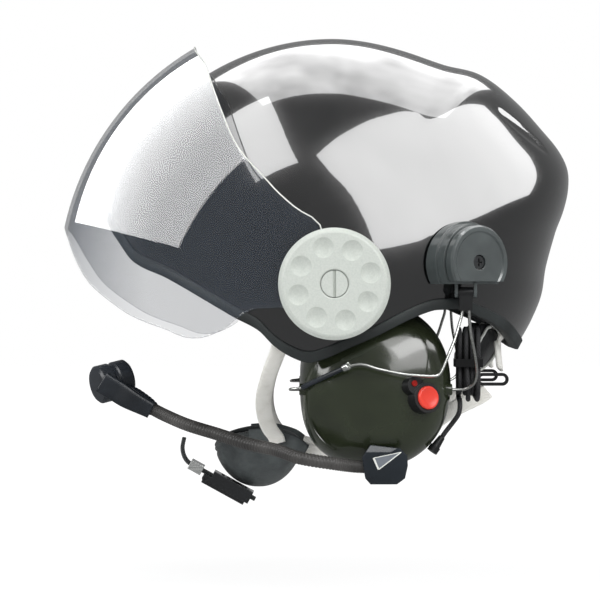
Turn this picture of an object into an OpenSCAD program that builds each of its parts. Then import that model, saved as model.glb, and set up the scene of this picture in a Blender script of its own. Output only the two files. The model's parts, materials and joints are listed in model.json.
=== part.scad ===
// Open face flying helmet with a pivoting visor, two spring held ear muffs and a microphone boom.
// The visor axis is the Y axis. The brow looks along -X, the crown along +Z, the wearer's left is -Y.

/* [Shell] */
// Radius of the crown about the visor axis
crown_r = 157; // [152:1:164]
// Radius of the brow edge about the visor axis
brow_r = 148.5; // [142:0.5:152]
// Radius of the raised rear hip about the visor axis
hip_r = 165.5; // [160:0.5:170]
// Radius of the rear corner about the visor axis
corner_r = 168; // [162:0.5:173]
// Radius of the back of the head below the corner
back_r = 136; // [130:0.5:142]
// Radius of the nape edge about the visor axis
nape_r = 124; // [118:0.5:128]
// Half of the outside width, at the visor axis
half_w = 121; // [115:0.5:127]
// Wall of the outer shell
shell_wall = 3.5; // [2.5:0.1:5]
// Height of the brow edge at its middle
brow_z = 40; // [34:1:46]
// Height of the lowest point of the shell in front of the ear
temple_z = -47; // [-50:0.5:-43]
// Height of the arch over the ear
arch_z = -15.5; // [-18:0.5:-13]
// Height of the nape edge at its middle
nape_z = -41; // [-45:0.5:-38]
// Number of columns in the shell's mesh
columns = 48; // [40:4:60]

/* [Edge trim] */
// Height of the trim band on the shell's outside
trim_h = 7; // [5:0.5:10]
// Thickness of the trim band
trim_t = 1.3; // [0.8:0.1:2]

/* [Lining] */
// Thickness of the impact liner
liner_t = 21; // [16:0.5:24]
// Thickness of the comfort pads
pad_t = 9; // [6:0.5:11]
// Thickness of the padded roll at the nape
roll_t = 15; // [10:1:18]

/* [Visor] */
// Distance of the visor's outside from the crown
visor_gap = 17.7; // [16:0.1:25]
// Wall of the visor
visor_wall = 2.2; // [1.5:0.1:3]
// Radius of the flat cheek around the pivot
cheek_r = 36; // [34:0.5:42]
// Radius of the pivot stud
stud_r = 7; // [5:0.25:9]
// Radius of the pivot base disc
base_r = 29; // [24:0.5:31]
// Thickness of the pivot base disc
base_t = 3.4; // [2.5:0.1:5]
// Radius of the friction washer
washer_r = 20; // [15:0.5:26]
// Thickness of the friction washer
washer_t = 1; // [0.6:0.1:1.6]

/* [Visor knob] */
// Radius of the visor knob
knob_r = 33.5; // [31:0.5:36]
// Thickness of the visor knob
knob_t = 9; // [7:0.5:12]
// Number of finger dimples in the knob
dimples = 8; // [6:1:9]
// Radius of one dimple at the knob's face
dimple_r = 6.2; // [4.5:0.1:7]
// Radius of the circle that the dimples lie on
dimple_ring_r = 22.5; // [20:0.5:24]
// Radius of the slotted screw head
screw_r = 8; // [6:0.5:9]

/* [Ear muff mount] */
// Distance of the muff mount behind the visor axis
mount_x = 77.5; // [72:0.5:82]
// Height of the muff mount above the visor axis
mount_z = 13; // [10:0.5:18]
// Turn of the muff mount towards the rear
mount_turn = 37; // [30:1:42]
// Radius of the muff mount
mount_r = 25; // [22:0.5:28]
// Height where the mount's lower segment is cut off
ledge_z = 0; // [-3:0.5:4]
// Radius of the spring wire
wire_r = 0.95; // [0.7:0.05:1.3]

/* [Ear cup] */
// Half length of the ear cup
cup_a = 46; // [42:0.5:49]
// Half height of the ear cup
cup_b = 50; // [46:0.5:52]
// Depth of the ear cup's dome
cup_d = 36; // [30:0.5:38]
// Distance of the ear cup's centre behind the visor axis
cup_x = 25.5; // [22:0.5:29]
// Height of the ear cup's centre
cup_z = -63; // [-67:0.5:-61]
// Distance of the ear cup's open face from the middle plane
cup_y = 77; // [75:0.5:80]
// Lean of the ear cup's top towards the head
cup_lean = 9.5; // [2:0.5:12]
// Thickness of the cup's back plate
plate_t = 2.6; // [2:0.1:4]
// Thickness of the ear cushion
cushion_t = 15; // [10:0.5:17]
// Width of the ear cushion's ring
cushion_w = 17; // [13:0.5:20]
// Radius of the loudspeaker
speaker_r = 20; // [16:0.5:24]
// Distance of the cup's tilt axis from the middle plane
tilt_y = 97; // [94:0.5:99]
// Height of the cup's tilt axis
tilt_z = -64; // [-66:0.5:-62]

/* [Talk button] */
// Radius of the red talk button
button_r = 7; // [5:0.1:7.5]
// Travel of the talk button
button_travel = 1.5; // [1:0.1:2.5]
// Turn of the button's axis towards the rear
button_turn = 30; // [20:1:36]

/* [Microphone boom] */
// Outside radius of the gooseneck
neck_r = 4; // [3:0.1:5]
// Number of ribs along the gooseneck
neck_ribs = 70; // [60:1:100]
// Radius of the gooseneck's bore
neck_bore_r = 1.8; // [1.2:0.1:2.4]
// Radius of the microphone drum
mic_r = 12; // [9:0.5:13]
// Length of the microphone drum
mic_l = 22; // [18:0.5:26]
// Depth of the boom block
block_d = 11.5; // [9:0.5:14]

/* [Straps] */
// Width of the white straps
strap_w = 10; // [8:0.5:12]
// Thickness of the white straps
strap_t = 3.6; // [2.5:0.1:4.5]
// Half length of the chin cup
chin_a = 29; // [25:0.5:32]
// Half width of the chin cup
chin_b = 44; // [40:0.5:46]
// Depth of the chin cup
chin_c = 34; // [28:0.5:37]
// Wall of the chin cup
chin_wall = 5; // [4:0.5:7]
// Length of the buckle
buckle_l = 28; // [24:0.5:32]
// Width of the buckle
buckle_w = 22; // [18:0.5:26]
// Height of the buckle
buckle_h = 8; // [6:0.5:10]

/* [Cable] */
// Diameter of the braided cable
cable_d = 3; // [2.6:0.1:3.2]
// Half length of the innermost loop of the hank
hank_half_l = 15; // [13:0.5:17]
// Half width of the innermost loop at the tie
hank_waist = 2.4; // [2:0.1:3]
// How much wider the innermost loop is towards its folds
hank_lobe = 8; // [7:0.5:10]
// Number of layers in the hank
hank_layers = 4; // [2:2:4]

/* [Hidden] */

$fn = 48;
gap = 0.3;
running = 0.05;
form = 2.1;
visor_r = crown_r + visor_gap;

// Curves through hand set knots

function last_below(k, x, i = 0) =
    i >= len(k) - 2 || x < k[i + 1][0] ? i : last_below(k, x, i + 1);
function knot_slope(k, i) =
    let (a = max(i - 1, 0), b = min(i + 1, len(k) - 1))
    (k[b][1] - k[a][1]) / (k[b][0] - k[a][0]);
function along_curve(k, x) =
    let (i = last_below(k, x), h = k[i + 1][0] - k[i][0],
         t = min(1, max(0, (x - k[i][0]) / h)))
    (2*t*t*t - 3*t*t + 1) * k[i][1] + (t*t*t - 2*t*t + t) * h * knot_slope(k, i)
    + (3*t*t - 2*t*t*t) * k[i + 1][1] + (t*t*t - t*t) * h * knot_slope(k, i + 1);

function unit(v) = v / norm(v);
function spline_point(p, i, t) =
    let (n = len(p), a = p[max(i - 1, 0)], b = p[i], c = p[i + 1], d = p[min(i + 2, n - 1)])
    0.5 * (2*b + (c - a)*t + (2*a - 5*b + 4*c - d)*t*t + (3*b - a - 3*c + d)*t*t*t);
function smooth_route(p, steps) =
    [for (i = [0 : len(p) - 2]) for (s = [0 : steps - 1]) spline_point(p, i, s / steps),
     p[len(p) - 1]];

// Surfaces swept through rings of points

module skin(rings, closed = false) {
    m = len(rings[0]);
    n = len(rings);
    last = closed ? n - 1 : n - 2;
    sides = [for (i = [0 : last]) for (j = [0 : m - 1])
        let (a = i*m + j, b = i*m + (j + 1) % m, i2 = (i + 1) % n,
             c = i2*m + (j + 1) % m, d = i2*m + j)
        for (f = [[a, d, c], [a, c, b]]) f];
    ends = closed ? [] : [for (j = [1 : m - 2]) for (f = [[0, j, j + 1],
        [(n - 1)*m, (n - 1)*m + j + 1, (n - 1)*m + j]]) f];
    polyhedron([for (r = rings) for (p = r) p], concat(sides, ends), convexity = 8);
}
function tangent(p, i) = unit(p[min(i + 1, len(p) - 1)] - p[max(i - 1, 0)]);
function ring_at(c, t, up, w, h, sides) =
    let (u = unit(cross(up, t)), v = cross(t, u))
    [for (j = [0 : sides - 1]) let (a = 360 * (j + 0.5) / sides) c + u*w*cos(a) + v*h*sin(a)];
function tube_rings(p, up, w, h, sides) =
    [for (i = [0 : len(p) - 1]) ring_at(p[i], tangent(p, i), up, w, h, sides)];
module tube(p, up, w, h, sides) skin(tube_rings(p, up, w, h, sides));

// Outer form of the helmet: a rounded body seen from the visor axis, where the
// side outline gives its radius at each angle from the brow over the crown to the nape

outline = [
    [-20, brow_r - 3], [16, brow_r], [32, crown_r - 2.5], [60, crown_r - 0.8], [90, crown_r],
    [108, crown_r - 1], [117, crown_r + 0.5], [125, hip_r - 1.5], [135, hip_r], [143, hip_r + 0.7],
    [149.5, corner_r], [154, corner_r - 0.8], [158, corner_r - 5.5], [162, corner_r - 12.5],
    [167, back_r + 10], [175, back_r + 1], [183, back_r - 2.5], [190, back_r - 7],
    [199, nape_r], [225, nape_r - 3]
];
plain_outline = [[-20, brow_r - 3], [30, crown_r - 2], [90, crown_r], [125, crown_r + 1],
    [150, crown_r - 6], [175, back_r + 3], [199, nape_r + 1], [225, nape_r - 3]];

// The hips and the corner fade out towards the sides
function form_radius(th, side) =
    let (f = min(1, side * side * 1.3))
    along_curve(outline, th) * (1 - f) + along_curve(plain_outline, th) * f;
function wrapped(th) = th < -90 ? th + 360 : th;
function form_point(phi, psi, off) =
    let (d = [-cos(psi)*cos(phi), -cos(psi)*sin(phi), sin(psi)],
         r = form_radius(wrapped(atan2(d.z, -d.x)), abs(d.y)) + off,
         s = norm([d.x, d.z]),
         rho = pow(pow(s / r, form) + pow(abs(d.y) / (half_w + off), form), -1 / form))
    rho * d;
// Half width of the form at a place in the side view
function form_y(x, z, off, y = 100, turns = 8) =
    turns == 0 ? y :
    let (r = norm([x, z]), side = y / norm([x, y, z]),
         big = form_radius(wrapped(atan2(z, -x)), side) + off,
         y2 = (half_w + off) * pow(max(0.001, 1 - pow(min(1, r / big), form)), 1 / form))
    form_y(x, z, off, y2, turns - 1);
function form_normal(x, z) =
    let (h = 2, y = form_y(x, z, 0))
    unit([-(form_y(x + h, z, 0) - y) / h, -1, -(form_y(x, z + h, 0) - y) / h]);

// Edge lines: height of an edge at each distance along X
shell_edge = [
    [-146, brow_z + 4], [-142.7, brow_z], [-133, brow_z - 13], [-122, brow_z - 26.5],
    [-100, brow_z - 37], [-72, temple_z + 34], [-60, temple_z + 27], [-45, temple_z + 19],
    [-36, temple_z + 10], [-27, temple_z + 4], [-16, temple_z], [-6, temple_z + 2],
    [10, temple_z + 9], [26, arch_z - 15.5], [44, arch_z - 6.5], [59, arch_z - 0.7], [68, arch_z],
    [77, arch_z], [88, arch_z - 4.5], [94, arch_z - 7], [105, nape_z + 12], [117, nape_z],
    [124, nape_z - 4]
];
liner_edge = [
    [-146, brow_z + 17], [-125, brow_z - 6], [-100, brow_z - 21], [-72, temple_z + 50],
    [-45, 2], [-20, 8], [70, 8], [84, 0], [95, -8], [110, nape_z + 16], [120, nape_z + 12]
];

// Angle at which a column of the form meets its edge line, by halving
function edge_psi(phi, edge, off, lo = -50, hi = 70, turns = 22) =
    turns == 0 ? (lo + hi) / 2 :
    let (mid = (lo + hi) / 2, p = form_point(phi, mid, off),
         above = p.z > along_curve(edge, p.x))
    edge_psi(phi, edge, off, above ? lo : mid, above ? mid : hi, turns - 1);
function lifted(psi, mm, phi, off) = psi + mm / norm(form_point(phi, psi, off)) * 180 / PI;

module dome(phis, psis, outer, inner, rows) {
    n = len(phis);
    grid = [for (off = [outer, inner]) for (i = [0 : n - 1]) for (j = [1 : rows])
        form_point(phis[i], 90 - (90 - psis[i]) * j / rows, off)];
    poles = [form_point(0, 90, outer), form_point(0, 90, inner)];
    function o(i, j) = (i % n) * rows + j - 1;
    function q(i, j) = n * rows + o(i, j);
    top = 2 * n * rows;
    faces = [for (i = [0 : n - 1]) for (f = concat(
        [[top, o(i + 1, 1), o(i, 1)], [top + 1, q(i, 1), q(i + 1, 1)]],
        [for (j = [1 : rows - 1]) for (g = [
            [o(i, j), o(i + 1, j), o(i + 1, j + 1)], [o(i, j), o(i + 1, j + 1), o(i, j + 1)],
            [q(i, j), q(i + 1, j + 1), q(i + 1, j)], [q(i, j), q(i, j + 1), q(i + 1, j + 1)]]) g],
        [[o(i, rows), o(i + 1, rows), q(i + 1, rows)], [o(i, rows), q(i + 1, rows), q(i, rows)]]
        )) f];
    polyhedron(concat(grid, poles), faces, convexity = 10);
}
// A band that follows an edge: its profile lists the distance off the form and
// the height above the edge, from the outer top round to the inner top
module band(phis, psis, profile, closed = false) {
    skin([for (i = [0 : len(phis) - 1]) [for (q = profile)
        form_point(phis[i], lifted(psis[i], q[1], phis[i], q[0]), q[0])]], closed);
}
function span(a, b, n) = [for (i = [0 : n]) a + (b - a) * i / n];
function around(n) = [for (i = [0 : n - 1]) 360 * i / n];
function edge_psis(phis, edge, off) = [for (p = phis) edge_psi(p, edge, off)];

all_phi = around(columns);
shell_psi = edge_psis(all_phi, shell_edge, 0);
trim_lip = trim_t + gap;
liner_off = -shell_wall - 1.1;
liner_in = liner_off - liner_t;
pad_gap = 1.4;

module outer_shell() color([0.07, 0.08, 0.085])
    dome(all_phi, [for (i = [0 : columns - 1]) lifted(shell_psi[i], trim_lip, all_phi[i], 0)],
         0, -shell_wall, 18);

module edge_trim() color([0.2, 0.22, 0.22]) {
    g = 0.25;
    band(all_phi, shell_psi, [
        [g, trim_h], [g + trim_t, trim_h - 0.7], [g + trim_t, 0.8], [g, 0],
        [-shell_wall - g, 0], [-shell_wall - g - trim_t, 0.8],
        [-shell_wall - g - trim_t, trim_h - 2], [-shell_wall - g, trim_h - 1.4],
        [-shell_wall - g, trim_t], [g, trim_t]], closed = true);
}

module impact_liner() color([0.16, 0.16, 0.17]) {
    phis = around(32);
    dome(phis, edge_psis(phis, liner_edge, liner_off), liner_off, liner_in, 9);
}

module crown_pad() color([0.12, 0.12, 0.13]) {
    phis = around(20);
    dome(phis, [for (p = phis) 58], liner_in - pad_gap, liner_in - pad_t, 5);
}

// Pad along the inside of the brow: crowned, drawn in at five sewn channels
module brow_pad() color([0.12, 0.12, 0.13]) {
    n = 24;
    phis = span(-64, 64, n);
    psis = edge_psis(phis, liner_edge, liner_off);
    back = liner_in - pad_gap;
    skin([for (i = [0 : n]) let (
            fat = min(1, 0.35 + min(i, n - i) * 0.4) * (i % 4 == 0 ? 0.72 : 1),
            f = back - pad_t * fat)
        [for (q = [[back, 28], [back, 3], [back*0.5 + f*0.5, 0], [f, 6], [f - 0.8*fat, 15],
                   [f, 24], [back*0.5 + f*0.5, 30]])
            form_point(phis[i], lifted(psis[i], q[1], phis[i], q[0]), q[0])]]);
}

// Padded roll that hangs from the liner's edge round the nape
roll_off = -shell_wall - trim_t - 4 * gap - strap_t;
module neck_roll() color([0.08, 0.09, 0.09]) {
    n = 24;
    phis = span(147, 213, n);
    mid = roll_off - roll_t / 2;
    low = edge_psis(phis, [[-200, nape_z - 13], [200, nape_z - 13]], mid);
    top = [for (p = phis) edge_psi(p, liner_edge, liner_off) - 0.8];
    skin([for (i = [0 : n]) let (
            full = min(1, 0.45 + min(i, n - i) * 0.3) * (i % 6 == 0 ? 0.86 : 1),
            c = (low[i] + top[i]) / 2, h = (top[i] - low[i]) / 2 * (0.75 + 0.25 * full))
        [for (k = [0 : 9]) let (a = 90 - k * 36)
            form_point(phis[i], c + h * sin(a), mid + roll_t / 2 * full * cos(a))]]);
}

// Left and right

module on_side(side) if (side < 0) children(); else mirror([0, 1, 0]) children();
// Turns a piece made along +Z so that it points out of the wearer's left side
module outward(y) translate([0, -y, 0]) rotate([90, 0, 0]) children();

base_y = half_w + gap;
visor_in = base_y + base_t + 0.5;
visor_out = visor_in + visor_wall;
washer_y = visor_out + gap;
knob_y = washer_y + washer_t + gap;
knob_top = knob_y + knob_t;
screw_h = 2.6;
screw_y = knob_top - screw_h - 0.4;
bore_r = stud_r + running;

module pivot_base(side) on_side(side) color([0.1, 0.1, 0.1]) outward(base_y)
    difference() {
        union() {
            cylinder(r = base_r, h = base_t);
            cylinder(r = stud_r, h = screw_y - gap - base_y);
        }
        translate([0, 0, base_t + 2]) cylinder(r = 3 + running, h = knob_t + 20);
    }

module pivot_screw(side) on_side(side) color([0.75, 0.76, 0.74]) outward(screw_y)
    difference() {
        union() {
            cylinder(r = screw_r, h = screw_h);
            translate([0, 0, -8]) cylinder(r = 3, h = 8.5);
        }
        translate([-0.9, -screw_r * 2, screw_h - 1.3]) cube([1.8, screw_r * 4, 3]);
    }

module knob(side) on_side(side) color([0.78, 0.8, 0.78]) outward(knob_y)
    difference() {
        rotate_extrude() polygon([
            [bore_r, 0], [knob_r - 1, 0], [knob_r, 1], [knob_r, knob_t - 2.6],
            [knob_r - 1.8, knob_t - 0.6], [knob_r - 3, knob_t], [screw_r + 1.1, knob_t],
            [screw_r + 0.4, knob_t - 0.6], [screw_r + 0.4, screw_y - knob_y - gap],
            [bore_r, screw_y - knob_y - gap]]);
        for (k = [0 : dimples - 1]) rotate(k * 360 / dimples + 17)
            translate([dimple_ring_r, 0, knob_t + 6.4])
                sphere(r = sqrt(dimple_r * dimple_r + 6.4 * 6.4));
    }

module friction_washers() color([0.15, 0.15, 0.15])
    for (side = [-1, 1]) on_side(side) outward(washer_y) difference() {
        cylinder(r = washer_r, h = washer_t);
        translate([0, 0, -1]) cylinder(r = bore_r, h = washer_t + 2);
    }

// The visor is a barrel turned about its axis and trimmed to a side outline,
// so that it clears the shell at every angle of its travel
function barrel(r_out, y_out, steps) = [for (i = [0 : steps]) let (a = 90 * i / steps)
    [cheek_r + (r_out - cheek_r) * pow(sin(a), 2 / form), y_out * pow(cos(a), 2 / form)]];
module barrel_solid(r_out, y_out, steps) {
    half = barrel(r_out, y_out, steps);
    rotate([90, 0, 0]) rotate_extrude($fn = 96) polygon(concat(
        [[0, y_out]], half, [for (i = [1 : steps]) [half[steps - i][0], -half[steps - i][1]]],
        [[0, -y_out]]));
}
top_edge = [[-96, 172], [-86.6, 147.8], [-79.2, 135.6], [-74.3, 121.9], [-67.8, 104.4],
    [-59.6, 85.5], [-51.7, 74.4], [-42.1, 64.1], [-31.9, 53.2], [-21.1, 44.2], [-9, 36]];
low_edge = [[-24, -13], [-39.6, -13.8], [-51.6, -15.6], [-63, -24], [-70.2, -28.5],
    [-79.5, -31.8], [-90.2, -31.6], [-101.2, -27.1], [-114.8, -22.3], [-124.2, -18.1],
    [-136.3, -10.2], [-151.5, 2.7], [-161, 18], [-168, 33], [-190, 60]];

module visor() color([0.72, 0.78, 0.82, 0.4]) difference() {
    intersection() {
        difference() {
            barrel_solid(visor_r, visor_out, 16);
            barrel_solid(visor_r - visor_wall, visor_in, 16);
        }
        rotate([90, 0, 0]) translate([0, 0, -160]) linear_extrude(320) {
            polygon(concat(smooth_route(top_edge, 2), [[0, 0]], smooth_route(low_edge, 2),
                [for (a = [20 : 8 : 56]) 215 * [-cos(a), sin(a)]]));
            circle(r = base_r + 1, $fn = 64);
        }
    }
    rotate([90, 0, 0]) cylinder(r = bore_r, h = 400, center = true);
}

// Ear muff mounts

mount_y = form_y(mount_x, mount_z, 0);
mount_n = form_normal(mount_x, mount_z);
seat_ball_r = 145;
seat_gap = 1.7;
tier1_h = 5;
tier2_h = 11;
cap_h = 6.2;
barrel_c = [79.5, -109, ledge_z - 5];
barrel_rad = 3.2;
barrel_l = 9;
pin_r = 1.5;

module at_mount() translate([mount_x, -mount_y, mount_z]) rotate([90, 0, mount_turn]) children();
module below_ledge() translate([-300, -300, ledge_z - 600]) cube(600);

module muff_mount(side) on_side(side) color([0.09, 0.1, 0.1]) difference() {
    union() {
        difference() {
            at_mount() {
                translate([0, 0, -14]) cylinder(r = mount_r, h = 14 + tier1_h);
                cylinder(r = mount_r - 1.6, h = tier2_h);
            }
            translate([mount_x, -mount_y, mount_z] - (seat_ball_r - seat_gap) * mount_n)
                sphere(r = seat_ball_r, $fn = 96);
            below_ledge();
        }
        for (s = [-1, 1]) translate(barrel_c + [s * (barrel_l/2 + gap + 1), 0, 0]) {
            rotate([0, 90, 0]) cylinder(r = barrel_rad, h = 2, center = true);
            translate([-1, -barrel_rad, 0]) cube([2, 2 * barrel_rad, ledge_z - barrel_c.z + 1]);
        }
    }
    translate(barrel_c) rotate([0, 90, 0]) cylinder(r = pin_r + running, h = 30, center = true);
}

module mount_cap(side) on_side(side) color([0.11, 0.12, 0.12]) difference() {
    at_mount() translate([0, 0, tier2_h + gap]) difference() {
        rotate_extrude() polygon([[0, 0], [mount_r - 3, 0], [mount_r - 2.6, 0.8],
            [mount_r - 2.6, cap_h - 1.2], [mount_r - 3.6, cap_h], [mount_r - 6, cap_h],
            [mount_r - 7, cap_h - 0.8], [0, cap_h - 0.8]]);
        translate([0, 0, 2]) cylinder(r = 4.6, h = cap_h);
        translate([0, 0, -1]) cylinder(r = 2 + running, h = cap_h);
    }
    translate([0, 0, 1.5]) below_ledge();
}

module mount_screw(side) on_side(side) color([0.3, 0.31, 0.32]) at_mount()
    translate([0, 0, tier2_h + gap]) difference() {
        union() {
            translate([0, 0, gap]) cylinder(r = 2, h = 2);
            translate([0, 0, 2 + gap]) cylinder(r = 4, h = 2.4);
        }
        for (a = [0, 90]) rotate(a) translate([-2.4, -0.5, 3.4]) cube([4.8, 1, 3]);
    }

module bail_pin(side) on_side(side) color([0.6, 0.6, 0.6])
    translate(barrel_c) rotate([0, 90, 0])
        cylinder(r = pin_r, h = barrel_l + 2*gap + 4, center = true);

// Spring wire bails with their plastic stems

stem_bottom = ledge_z - 16;
module bail_stem(side) on_side(side) color([0.08, 0.08, 0.08]) difference() {
    translate(barrel_c) {
        rotate([0, 90, 0]) cylinder(r = barrel_rad, h = barrel_l, center = true);
        translate([-barrel_l/2 + 0.5, -2.6, stem_bottom - barrel_c.z])
            cube([barrel_l - 1, 5.2, barrel_c.z - stem_bottom]);
    }
    translate(barrel_c) rotate([0, 90, 0])
        cylinder(r = pin_r + running, h = 30, center = true);
    for (s = [-1, 1]) translate([barrel_c.x + s * 2.1, barrel_c.y, stem_bottom - 1])
        cylinder(r = wire_r + 0.15, h = 6);
}

front_leg_x = barrel_c.x - 2.1;
rear_leg_x = barrel_c.x + 2.1;
front_pin_x = cup_x - cup_a;
rear_pin_x = cup_x + cup_a;
front_wire = [
    [front_leg_x, -109, stem_bottom + 4.5], [front_leg_x, -109, stem_bottom - 1.5],
    [75.6, -110.5, -24], [72.8, -113.5, -33], [69, -117, -42], [65.2, -119.5, -51],
    [62.6, -120.5, -54.6], [58.5, -121, -55.3], [51.5, -121.3, -55], [41, -121.6, -54],
    [26.5, -121.6, -51], [16, -121, -48.2], [6, -119, -50.5], [-8, -112, -57],
    [-19, -103, -62.5], [front_pin_x - 5.2, -98.6, tilt_z + 0.3],
    [front_pin_x - 5, -tilt_y, tilt_z], [front_pin_x - 3, -tilt_y, tilt_z]
];
rear_wire = [
    [rear_leg_x, -109, stem_bottom + 4.5], [rear_leg_x, -109, stem_bottom - 1.5],
    [82.5, -108.4, -29], [85, -107, -42], [86.4, -104.5, -53], [85, -101, -60],
    [80.5, -98, tilt_z + 0.6], [rear_pin_x + 5, -tilt_y, tilt_z],
    [rear_pin_x + 3, -tilt_y, tilt_z]
];
module bail(side) on_side(side) color([0.62, 0.62, 0.6]) {
    tube(smooth_route(front_wire, 2), [0, 1, 0.15], wire_r, wire_r, 6);
    tube(smooth_route(rear_wire, 2), [0, 1, 0.15], wire_r, wire_r, 6);
    translate([front_pin_x - 3.4, -tilt_y, tilt_z]) rotate([0, 90, 0])
        cylinder(r = wire_r, h = 6);
    translate([rear_pin_x - 2.6, -tilt_y, tilt_z]) rotate([0, 90, 0])
        cylinder(r = wire_r, h = 6);
}

// Ear cups. Local axes: x to the rear, y up, z out of the head

module at_cup(side) on_side(side) translate([cup_x, -cup_y, cup_z])
    rotate([90 - cup_lean, 0, 0]) children();
cup_base = plate_t + gap;
cup_steps = 36;
// Outline exponent: fuller at the front lower corner than at the rear
function cup_power(a) = 2.15 + 0.45 * pow(max(0, cos(a - 222)), 2);
function cup_reach(a) = let (n = cup_power(a))
    pow(pow(abs(cos(a)) / cup_a, n) + pow(abs(sin(a)) / cup_b, n), -1 / n);
cup_profile = [[0.955, 0], [0.985, 1.2], [1, 4], [1, 9], [0.985, 13], [0.95, 18], [0.88, 23.5],
    [0.77, 28.5], [0.62, 32], [0.42, 34.6], [0.2, 35.8]];
// The front of the dome is planed off in two slanting facets
function cup_height(x, y, h) = min(h,
    (x * 0.94 + y * 0.34) * 0.62 + 49.5, (x * 0.8 + y * 0.6) * 0.95 + 62);
function cup_ring(s, h) = [for (i = [0 : cup_steps - 1]) let (a = 360 * i / cup_steps,
    r = s * cup_reach(a), x = r * cos(a), y = r * sin(a))
    [x, y, cup_base + cup_height(x, y, h * cup_d / 36)]];

boss_r = 3.6;
module cup_body() difference() {
    union() {
        skin([for (q = cup_profile) cup_ring(q[0], q[1])]);
        for (s = [-1, 1]) cup_boss(s);
    }
    for (s = [-1, 1]) cup_pin_hole(s);
    translate([0, 0, cup_base - 1]) cylinder(r = speaker_r + 3, h = 19);
}
// Position of the tilt axis in the cup's own axes
pin_v = (tilt_z - cup_z) * cos(cup_lean) + (cup_y - tilt_y) * sin(cup_lean);
pin_w = (tilt_y - cup_y) * cos(cup_lean) + (tilt_z - cup_z) * sin(cup_lean);
module cup_boss(s) translate([s * (cup_a - 4), pin_v, pin_w]) rotate([0, 90, 0])
    cylinder(r = boss_r, h = 9, center = true);
module cup_pin_hole(s) translate([s * cup_a, pin_v, pin_w]) rotate([0, 90, 0])
    cylinder(r = wire_r + running, h = 9, center = true);

boom_x = 33;
boom_z = -108;
boom_face_y = 114.8;
boss_back_y = 89;
pivot_pin_r = 3;
module boom_pivot() translate([boom_x, 0, boom_z]) outward(boss_back_y) {
    cylinder(r = 8.5, h = boom_face_y - boss_back_y - gap);
    cylinder(r = pivot_pin_r, h = boom_face_y - boss_back_y + block_d - 3);
}
module ear_cup(side) color([0.19, 0.21, 0.15]) {
    if (side < 0) {
        at_cup(side) cup_body();
        boom_pivot();
    } else at_cup(side) cup_body();
}

module oval(s, h) skin([for (z = [0, h]) [for (i = [0 : cup_steps - 1])
    let (a = 360 * i / cup_steps, r = s * cup_reach(a)) [r * cos(a), r * sin(a), z]]]);
module backplate(side) color([0.1, 0.1, 0.1]) at_cup(side) difference() {
    oval(0.94, plate_t);
    translate([0, 0, -1]) cylinder(r = speaker_r - 3, h = plate_t + 2);
}
module speaker(side) color([0.25, 0.25, 0.27]) at_cup(side) translate([0, 0, cup_base]) {
    cylinder(r = speaker_r, h = 3);
    translate([0, 0, 3]) cylinder(r1 = speaker_r - 2, r2 = 11, h = 5);
    translate([0, 0, 8]) cylinder(r = 11, h = 5);
}
module foam(side) color([0.2, 0.2, 0.2]) at_cup(side)
    translate([0, 0, -3.3]) cylinder(r = speaker_r + 2, h = 3);

// Oval cushion ring: crowned towards the head and drawn in where it meets the plate
module ear_cushion(side) color([0.07, 0.07, 0.07]) at_cup(side) {
    n = 36;
    back = -gap;
    mid = 0.97 - cushion_w / (2 * cup_a);
    skin([for (i = [0 : n - 1]) let (a = 360 * i / n, r = mid * cup_reach(a),
            c = [r * cos(a), r * sin(a)], o = [cos(a), sin(a)])
        [for (k = [0 : 9]) let (w = 360 * (k + 0.5) / 10, x = cos(w) * cushion_w / 2,
                z = back - cushion_t / 2 + sin(w) * cushion_t / 2,
                pull = z > back - 3 ? 0.8 : 1)
            [c.x + o.x * x * pull, c.y + o.y * x * pull, min(back, z * 1.04 + 0.3)]]],
        closed = true);
}

// Talk button on the left cup

button_at = [26.5, -12, 29.2];
led_at = [-12, 11.5];
module at_button() at_cup(-1) translate(button_at + [0, 0, cup_base]) rotate([0, button_turn, 0])
    children();
housing_h = 8.5;
button_floor = 3.4;
button_stand = 2;
// The housing's foot follows the cup's dome above this height
dome_from = 12;
module button_housing() color([0.08, 0.08, 0.09]) difference() {
    at_button() difference() {
        union() {
            cylinder(r = button_r + 2.2, h = housing_h);
            translate([led_at.x * 0.62, led_at.y * 0.62, 0]) cylinder(r = 5.6, h = housing_h - 1.4);
        }
        translate([0, 0, button_floor]) cylinder(r = button_r + running, h = housing_h);
        translate([led_at.x * 0.72, led_at.y * 0.72, housing_h - 3.2])
            cylinder(r = 1.8 + running, h = 5);
    }
    at_cup(-1) skin([for (q = cup_profile) if (q[1] > dome_from)
        [for (p = cup_ring(q[0], q[1])) p + [0, 0, gap]]]);
}
module talk_button() color([0.88, 0.22, 0.16]) at_button()
    translate([0, 0, button_floor + button_travel + gap])
        cylinder(r = button_r, h = housing_h + button_stand - button_floor - button_travel - gap);
module indicator_lens() color([0.6, 0.08, 0.06]) at_button()
    translate([led_at.x * 0.72, led_at.y * 0.72, housing_h - 3.2 + gap]) cylinder(r = 1.8, h = 2.2);

// Microphone boom

block_outline = [[16.6, -103.7], [21.7, -96.5], [39.6, -98.6], [43.8, -102.7], [44.1, -108.9],
    [42.4, -116.4], [37.6, -119.9], [21.7, -119.9], [18.6, -116.4]];
neck_start = [19, -120.5, -109.6];
module boom_block() color([0.13, 0.13, 0.13]) difference() {
    intersection() {
        outward(boom_face_y) linear_extrude(block_d) polygon(block_outline);
        translate([30, -boom_face_y, -108]) rotate([0, 0, 14]) translate([-40, -block_d - 0.5, -40])
            cube([80, 30, 80]);
        translate([30, -boom_face_y, -108]) rotate([-24, 0, 0]) translate([-40, -block_d - 2, -40])
            cube([80, 40, 80]);
    }
    translate([boom_x, 0, boom_z]) outward(boom_face_y - 1)
        cylinder(r = pivot_pin_r + running, h = block_d - 1.5);
    translate(neck_start - [3, 0, 0]) rotate([0, 90, 0]) cylinder(r = neck_r + 0.3, h = 7);
}

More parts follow.
